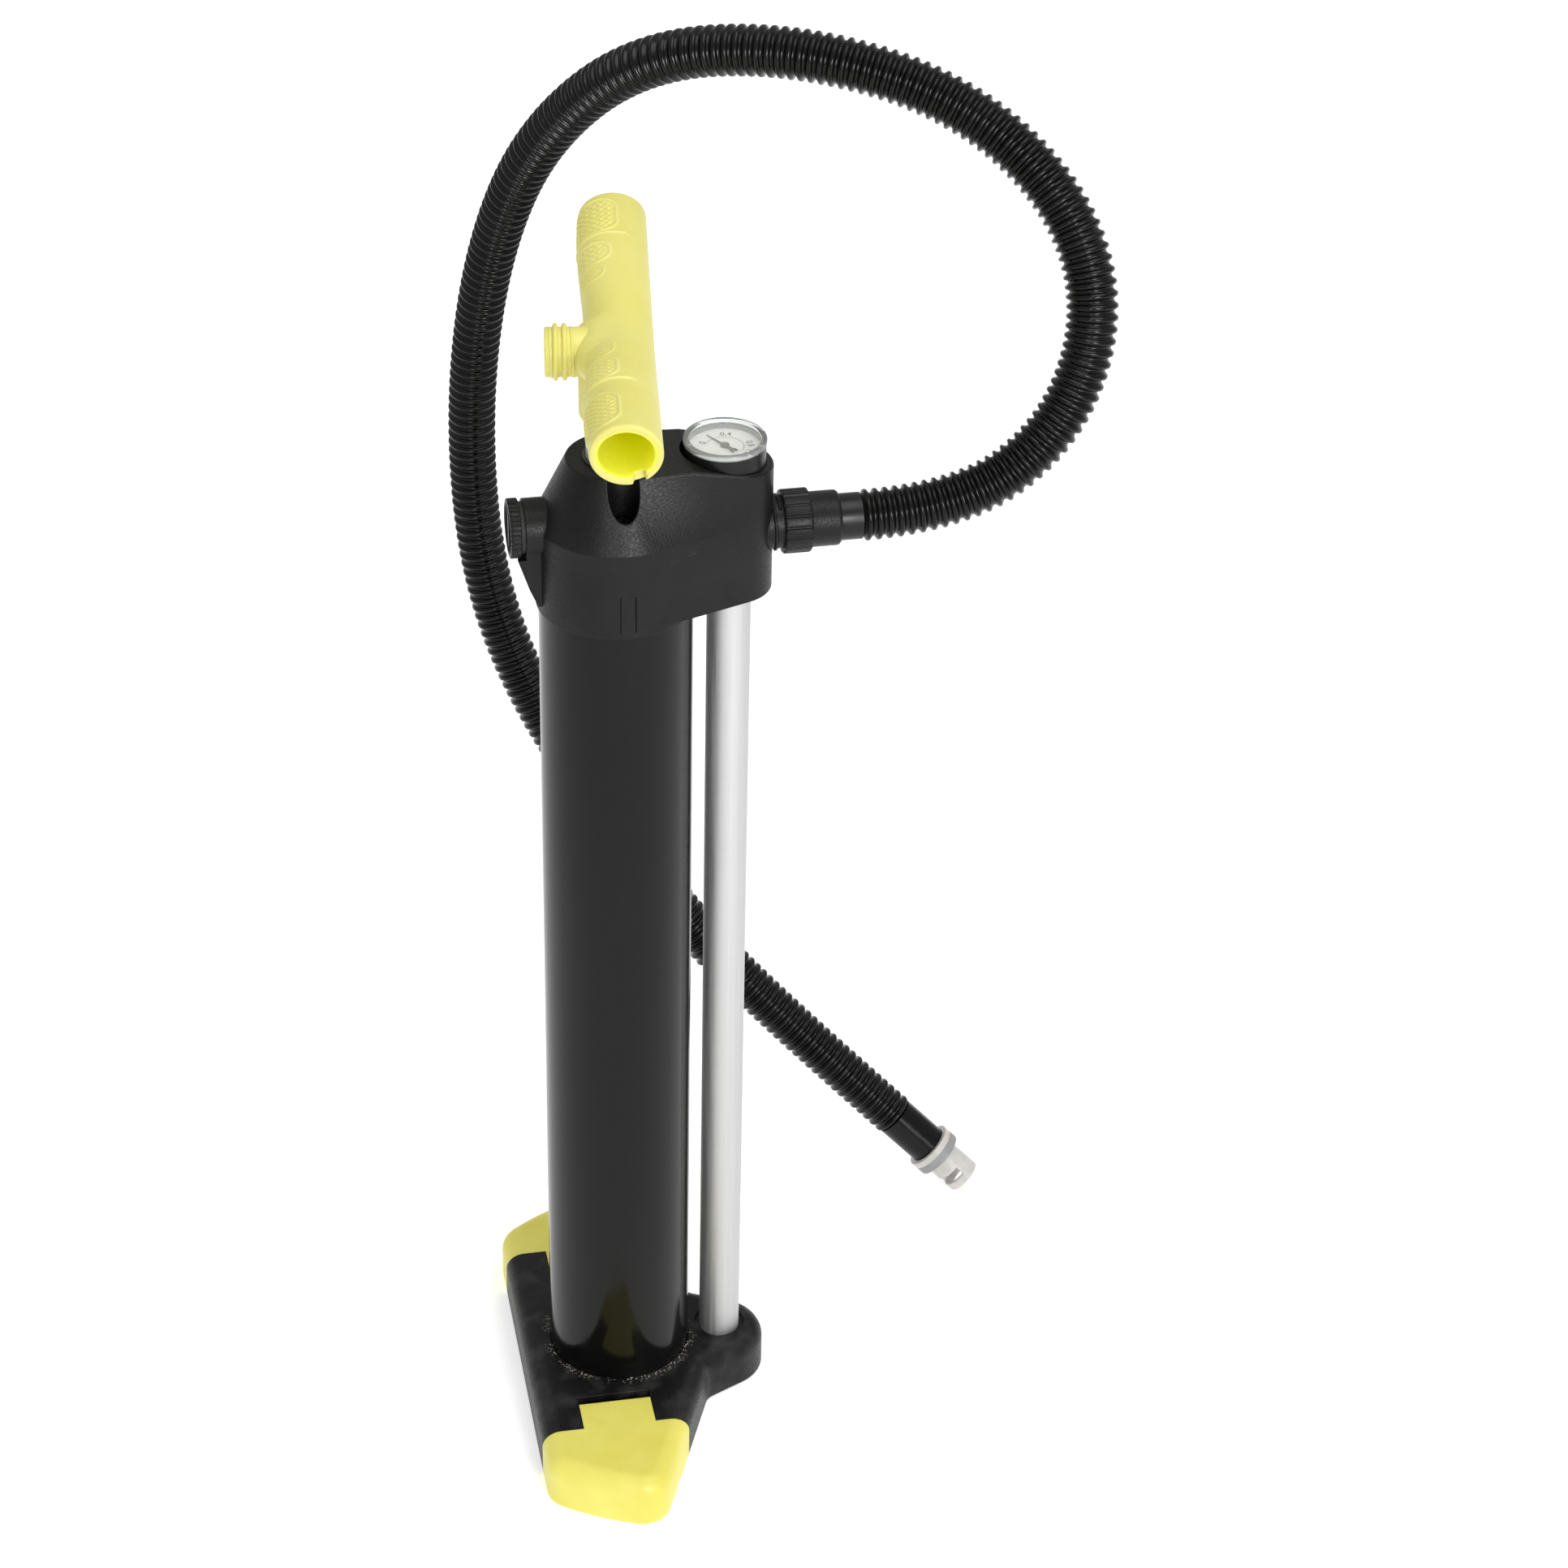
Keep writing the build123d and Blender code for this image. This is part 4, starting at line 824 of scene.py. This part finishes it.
# ---- pieces ---------------------------------------------------------------------------
class PumpSizes(bpy.types.PropertyGroup):
    """Sizes of the pieces that are made here."""

    hose_diameter: FloatProperty(
        name="Hose diameter", description="Across the ribs", default=0.027,
        subtype="DISTANCE", unit="LENGTH")
    hose_root_diameter: FloatProperty(
        name="Hose root diameter", description="Between the ribs", default=0.0227,
        subtype="DISTANCE", unit="LENGTH")
    hose_rib_pitch: FloatProperty(
        name="Rib pitch", description="From one rib of the hose to the next", default=0.00556,
        precision=5, subtype="DISTANCE", unit="LENGTH")
    grip_half_length: FloatProperty(
        name="Grip reach", description="From the rod to the end of a grip", default=0.126,
        subtype="DISTANCE", unit="LENGTH")
    grip_width: FloatProperty(
        name="Grip width", description="Across the oval grip", default=0.0354,
        subtype="DISTANCE", unit="LENGTH")
    grip_height: FloatProperty(
        name="Grip height", description="Height of the oval grip", default=0.0308,
        subtype="DISTANCE", unit="LENGTH")
    grip_wall: FloatProperty(
        name="Grip wall", description="Thickness of the grip's wall", default=0.0043,
        precision=4, subtype="DISTANCE", unit="LENGTH")
    grip_rise: FloatProperty(
        name="Grip rise", description="Upsweep of each grip", default=math.radians(5.9),
        subtype="ANGLE", unit="ROTATION")
    nut_grooves: IntProperty(
        name="Nut grooves", description="Number of grooves round the hose nut", default=17, min=6)
    needle_angle: FloatProperty(
        name="Needle angle", description="Where the needle points at no pressure",
        default=math.radians(122), subtype="ANGLE", unit="ROTATION")


class PumpColours(bpy.types.PropertyGroup):
    """Colours of the main materials."""

    handle: FloatVectorProperty(
        name="Handle", description="T handle", default=linear("#E1D97A"), size=4,
        subtype="COLOR", min=0, max=1)
    caps: FloatVectorProperty(
        name="Foot caps", description="Caps at both ends of the base", default=linear("#EEE571"),
        size=4, subtype="COLOR", min=0, max=1)
    housing: FloatVectorProperty(
        name="Housing", description="Head, base and fittings", default=linear("#101010"), size=4,
        subtype="COLOR", min=0, max=1)
    barrel: FloatVectorProperty(
        name="Barrel", description="Lacquer of the barrel", default=linear("#0C0C0C"), size=4,
        subtype="COLOR", min=0, max=1)
    tube: FloatVectorProperty(
        name="Side tube", description="Anodised aluminium", default=linear("#C8C8C8"), size=4,
        subtype="COLOR", min=0, max=1)
    hose: FloatVectorProperty(
        name="Hose", description="Corrugated hose", default=linear("#050505"), size=4,
        subtype="COLOR", min=0, max=1)


def studio_dome():
    """World of a white tent, bright above and dimmer towards and below the horizon."""
    world = bpy.data.worlds.new("studio")
    world.use_nodes = True
    tree = world.node_tree
    sky = add_node(tree, "ShaderNodeTexCoord").outputs["Generated"]
    height = add_node(tree, "ShaderNodeSeparateXYZ", None, {0: sky}).outputs["Z"]
    glow = add_node(
        tree, "ShaderNodeMapRange",
        {"interpolation_type": "SMOOTHSTEP", "From Min": 0.1, "From Max": 0.9, "To Min": 0.5,
         "To Max": 0.75}, {"Value": height})
    tree.links.new(glow.outputs[0], tree.nodes["Background"].inputs["Strength"])
    tree.nodes["Background"].inputs["Color"].default_value = (1, 1, 1, 1)
    return world


class PUMP_OT_stage(bpy.types.Operator):
    """Floor, studio light and camera"""

    bl_idname = "pump.stage"
    bl_label = "Stage"

    def execute(self, context):
        bm = bmesh.new()
        bmesh.ops.create_grid(bm, x_segments=2, y_segments=2, size=6.0)
        data = bpy.data.meshes.new("floor")
        bm.to_mesh(data)
        bm.free()
        paper = start_material(
            "matt_white_paper", linear("#EDEDED"), 0.9, Emission_Color=(1, 1, 1, 1),
            Emission_Strength=0.45, Specular_IOR_Level=0.0)
        data.materials.append(paper)
        placed("floor", data)
        context.scene.world = studio_dome()
        context.scene.view_settings.view_transform = "Standard"
        for name, spot, aim, size, power, lights_all in SOFTBOXES:
            glow = bpy.data.lights.new(name, "AREA")
            glow.shape = "SQUARE"
            glow.size = size
            glow.energy = power
            lamp = placed(name, glow)
            lamp.visible_diffuse = lights_all
            lamp.location = spot
            lamp.rotation_euler = (Vector(spot) - Vector(aim)).to_track_quat("Z", "Y").to_euler()
        lens = bpy.data.cameras.new("camera")
        lens.lens = 93.52
        lens.sensor_width = 36
        lens.clip_end = 50
        camera = placed("camera", lens)
        pose = Matrix.Translation(CAMERA_PLACE)
        for degrees, axis in zip(CAMERA_TURNS, "ZXZ"):
            pose = pose @ Matrix.Rotation(math.radians(degrees), 4, axis)
        camera.matrix_world = pose
        context.scene.camera = camera
        return {"FINISHED"}


class PUMP_OT_finishes(bpy.types.Operator):
    """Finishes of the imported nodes"""

    bl_idname = "pump.finishes"
    bl_label = "Finishes"

    def execute(self, context):
        made = main_materials(context.scene.pump_colours)
        for part in frame["record"]["subparts"]:
            paint(part["node"], made[part["material_slot"]])
        paint("base_housing", made["base_abs"])
        paint("hose_end_cuff", made["hose_black"])
        paint("head_screws", made["black_screw"])
        return {"FINISHED"}


class PUMP_OT_hose(bpy.types.Operator):
    """Corrugated hose from the neck to the plug"""

    bl_idname = "pump.hose"
    bl_label = "Hose"

    def execute(self, context):
        route = Route(hose_centreline())
        bm = corrugated_tube(route, context.scene.pump_sizes)
        material = bpy.data.materials["black_polyethylene"]
        hose = finish_piece(bm, "corrugated_hose", material, "pump_body")
        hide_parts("hose")
        return {"FINISHED"}


class PUMP_OT_handle(bpy.types.Operator):
    """Hollow T handle with its grips, hub and threaded spigot"""

    bl_idname = "pump.handle"
    bl_label = "Handle"

    def execute(self, context):
        sizes = context.scene.pump_sizes
        spigot = MOUNTS["handle_spigot"]
        along = Vector(spigot["axis"])
        hub = Vector((0, 0, spigot["pos_m"][2]))
        across = Matrix((-along, Vector((0, 0, 1)).cross(-along), Vector((0, 0, 1)))).transposed()
        seat = Matrix.Translation(hub) @ across.to_4x4()
        bm = bmesh.new()
        handle_skin(bm, seat, sizes)
        neck = (
            (0, -16), (15.1, -16), (15.1, -35.5), (15.5, -36), (16.4, -36), (17.6, -35.4),
            (18.2, -34.2), (18.4, -32.6), (18.4, -9), (17.4, -6.5), (15, -5), (0, -5))
        turned(bm, neck, 96, Matrix.Translation(hub))
        out = axes_at(hub, along, (0, 0, 1))
        pipe = [
            (9.8, 34.2), (10.1, 34.8), (10.6, 35), (11.7, 35), (12.15, 34.85), (12.4, 34.4)]
        for crest in (29.6, 25.1):
            pipe += [
                (12.4, crest + 1.5), (12.9, crest + 1.25), (13.7, crest + 1.05),
                (14.2, crest + 0.55), (14.3, crest), (14.2, crest - 0.55), (13.7, crest - 1.05),
                (12.9, crest - 1.25), (12.4, crest - 1.5)]
        pipe += [(12.4, 8), (9.8, 5)]
        turned(bm, pipe, 96, out, closed=True)
        for start in (31.2, 20.4):
            screw_thread(bm, out, start, 0.6, 2.4, 12.4, 13.0, 1.8, 0.5)
        inverse = seat.inverted()
        for face in bm.faces:
            face.material_index = in_bore(inverse @ face.calc_center_median(), sizes)
        material = bpy.data.materials["waxy_yellow_polyethylene"]
        handle = finish_piece(bm, "t_handle", material, "plunger", 50)
        # The bore's faces get the wall whose colour holds a painted glow.
        handle.data.materials.append(bpy.data.materials["yellow_wall_painted_glow"])
        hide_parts("handle")
        return {"FINISHED"}


class PUMP_OT_port_cap(bpy.types.Operator):
    """Screw cap of the selector port, grooved round its rim"""

    bl_idname = "pump.port_cap"
    bl_label = "Port cap"

    def execute(self, context):
        outer_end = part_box("port_cap")[0][0]
        centre = middle("port_cap")
        place = axes_at((outer_end, centre.y, centre.z), (1, 0, 0), (0, 0, 1))
        outline = (
            (0, 1.5), (11.9, 1.5), (12.6, 1), (12.9, 0.25), (13.2, 0), (14.6, 0), (15.1, 0.15),
            (15.4, 0.6), (15.4, 1.2), (15.4, 4.8), (15.3, 5.3), (15, 5.5), (11.35, 5.5),
            (11.35, 12.6), (11, 13), (0, 13))

        def depth_at(around):
            """Groups of three fine grooves, and one wide one at the top."""
            group = (around * CAP_GROUPS / (2 * math.pi)) % 1 * 2 * math.pi * CAP_RIM / CAP_GROUPS
            gaps = min(abs(group - where) for where in (1.4, 4.0, 6.6))
            fine = 0.6 * (1 - smooth(0.3, 0.65, gaps))
            return max(fine, 1.3 * (1 - smooth(1.0, 1.9, abs(around) * CAP_RIM)))

        bm = bmesh.new()
        groove(turned(bm, outline, 288, place), place, 14.8, depth_at)
        # The finger rib across the cap's face: a small turned boss, drawn out sideways.
        rib = ((0, 1.7), (2.0, 1.7), (2.2, 1.5), (2.2, 0.4), (1.9, 0.2), (0, 0.2))
        made = turned(bm, rib, 48, Matrix.Identity(4))
        for vert in made:
            vert.co.x = math.copysign(max(abs(vert.co.x) * 11.2 / 2.2 - 0.2 * MM, 0), vert.co.x)
        bmesh.ops.transform(bm, matrix=place, verts=made)
        material = bpy.data.materials["moulded_black_abs"]
        cap = finish_piece(bm, "screw_cap", material, "cap_body", 40)
        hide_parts("port_cap")
        return {"FINISHED"}


class PUMP_OT_outlet(bpy.types.Operator):
    """Grooved hose nut and the thread that it runs on"""

    bl_idname = "pump.outlet"
    bl_label = "Outlet"

    def execute(self, context):
        grooves = context.scene.pump_sizes.nut_grooves
        centre = middle("hose_neck")
        place = axes_at((0, centre.y, centre.z), (1, 0, 0), (0, 0, 1))
        outline = (
            (13.85, 85.6), (16.2, 85.6), (16.6, 86), (16.7, 86.6), (16.7, 98.6), (16.6, 99.2),
            (16.2, 99.8), (14.5, 100), (14.4, 100.4), (14.4, 113.6), (14.2, 114.6), (13.6, 115.3),
            (13, 115.5), (12.3, 115.5), (12.3, 100.5), (13.85, 100.5))

        def depth_at(around):
            """Even grooves, 1 mm deep."""
            share = around * grooves / (2 * math.pi) % 1
            gap = abs(share - 0.5) * 2 * math.pi * NUT_RIM / grooves
            return 1 - smooth(0.5, 1.1, gap)

        bm = bmesh.new()
        groove(turned(bm, outline, grooves * 12, place, closed=True), place, 15.5, depth_at)
        material = bpy.data.materials["moulded_black_abs"]
        nut = finish_piece(bm, "grooved_nut", material, "nut_body", 40)
        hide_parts("hose_nut")
        bm = bmesh.new()
        screw_thread(bm, place, 80.2, 1.1, 3.4, 13.75, 14.9, 2.2)
        finish_piece(bm, "outlet_thread", material, "pump_body")
        return {"FINISHED"}


class PUMP_OT_gauge(bpy.types.Operator):
    """Gauge rim, window, numbers and needle"""

    bl_idname = "pump.gauge"
    bl_label = "Gauge"

    def execute(self, context):
        lens_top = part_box("gauge_lens")[1][2]
        centre = middle("gauge_lens")
        top = lens_top / MM
        place = Matrix.Translation((centre.x, centre.y, 0))
        outline = (
            (18.4, top - 5.35), (19.4, top - 5.35), (19.4, top - 3), (21.1, top - 3),
            (21.4, top - 2.7), (21.4, top - 0.7), (21.2, top - 0.3), (20.8, top - 0.05),
            (20.2, top), (19.1, top), (18.6, top - 0.2), (18.4, top - 0.6))
        bm = bmesh.new()
        for vert in turned(bm, outline, 180, place, closed=True):
            around = math.degrees(math.atan2(vert.co.y - centre.y, vert.co.x - centre.x))
            notch = hump((around + 62) / 5)
            vert.co.z -= 0.5 * MM * notch * (vert.co.z > lens_top - 0.25 * MM)
        rim = finish_piece(
            bm, "gauge_rim", bpy.data.materials["clear_acrylic"], "pump_body", 40)
        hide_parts("gauge_lens")
        disc = (
            (0, top - 2.5), (18.38, top - 2.5), (18.38, top - 1.4), (17.6, top - 1.3),
            (0, top - 1.2))
        bm = bmesh.new()
        turned(bm, disc, 96, place)
        window = bpy.data.materials["clear_acrylic_window"]
        finish_piece(bm, "gauge_window", window, "pump_body")
        self.numbers(place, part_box("gauge_dial")[1][2])
        self.needle(context.scene.pump_sizes.needle_angle)
        return {"FINISHED"}

    def numbers(self, place, dial_top):
        """Numbers of the scale, upright from the dial's centre."""
        upright = Matrix.Rotation(math.radians(-90), 4, "Z")
        bm = bmesh.new()
        for text, angle, radius in DIAL_NUMBERS:
            data = bpy.data.curves.new("number", "FONT")
            data.body = text
            data.size = 5.0 * MM
            data.offset = 0.06 * MM
            data.align_x = "CENTER"
            data.align_y = "CENTER"
            holder = placed("number", data)
            flat = bpy.data.meshes.new_from_object(holder)
            turn = Matrix.Rotation(math.radians(angle), 4, "Z")
            lift = Matrix.Translation((radius * MM, 0, dial_top + 0.02 * MM))
            flat.transform(place @ turn @ lift @ upright)
            bm.from_mesh(flat)
            bpy.data.objects.remove(holder)
            bpy.data.meshes.remove(flat)
        data = bpy.data.meshes.new("dial_numbers")
        bm.to_mesh(data)
        bm.free()
        data.materials.append(bpy.data.materials["needle_enamel"])
        piece = placed("dial_numbers", data)
        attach(piece, "pump_body")

    def needle(self, angle):
        """Thin pointer with a crescent tail and a raised hub."""
        centre = middle("gauge_dial")
        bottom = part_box("gauge_dial")[1][2] + 0.5 * MM
        place = Matrix.Translation((centre.x, centre.y, bottom)) @ Matrix.Rotation(angle, 4, "Z")
        outline = (
            (14, 0.2), (3, 0.6), (-4.5, 1.0), (-5.6, 1.7), (-6.6, 1.9), (-8.4, 1.5), (-7.4, 0.6),
            (-7.1, 0), (-7.4, -0.6), (-8.4, -1.5), (-6.6, -1.9), (-5.6, -1.7), (-4.5, -1.0),
            (3, -0.6), (14, -0.2))
        bm = bmesh.new()
        verts = [bm.verts.new((x * MM, y * MM, 0)) for x, y in outline]
        blade = bm.faces.new(verts)
        grown = bmesh.ops.extrude_face_region(bm, geom=[blade])["geom"]
        raised = [g for g in grown if isinstance(g, bmesh.types.BMVert)]
        bmesh.ops.translate(bm, verts=raised, vec=(0, 0, 0.3 * MM))
        bmesh.ops.transform(bm, matrix=place, verts=bm.verts)
        hub = (
            (0, -3.2), (0.8, -3.2), (0.8, 0), (2.3, 0), (2.4, 0.2), (2.3, 0.8), (1.9, 1.0),
            (0, 1.05))
        turned(bm, hub, 36, place)
        piece = finish_piece(
            bm, "dial_needle", bpy.data.materials["needle_enamel"], "needle", 35)
        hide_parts("gauge_needle")


class PUMP_PT_panel(bpy.types.Panel):
    """Buttons, sizes and colours of the hand pump"""

    bl_label = "Hand pump"
    bl_idname = "PUMP_PT_panel"
    bl_space_type = "VIEW_3D"
    bl_region_type = "UI"
    bl_category = "Hand pump"

    def draw(self, context):
        for made in OPERATORS:
            self.layout.operator(made.bl_idname)
        for group in (context.scene.pump_sizes, context.scene.pump_colours):
            for name in type(group).__annotations__:
                self.layout.prop(group, name)


OPERATORS = (
    PUMP_OT_stage, PUMP_OT_finishes, PUMP_OT_hose, PUMP_OT_handle, PUMP_OT_port_cap,
    PUMP_OT_outlet, PUMP_OT_gauge)
CLASSES = (PumpSizes, PumpColours, *OPERATORS, PUMP_PT_panel)


def register():
    for made in CLASSES:
        bpy.utils.register_class(made)
    bpy.types.Scene.pump_sizes = PointerProperty(type=PumpSizes)
    bpy.types.Scene.pump_colours = PointerProperty(type=PumpColours)


def unregister():
    del bpy.types.Scene.pump_colours
    del bpy.types.Scene.pump_sizes
    for made in reversed(CLASSES):
        bpy.utils.unregister_class(made)


def main():
    register()
    bpy.ops.pump.stage()
    bpy.ops.pump.finishes()
    bpy.ops.pump.hose()
    bpy.ops.pump.handle()
    bpy.ops.pump.port_cap()
    bpy.ops.pump.outlet()
    bpy.ops.pump.gauge()


if __name__ == "__main__":
    main()
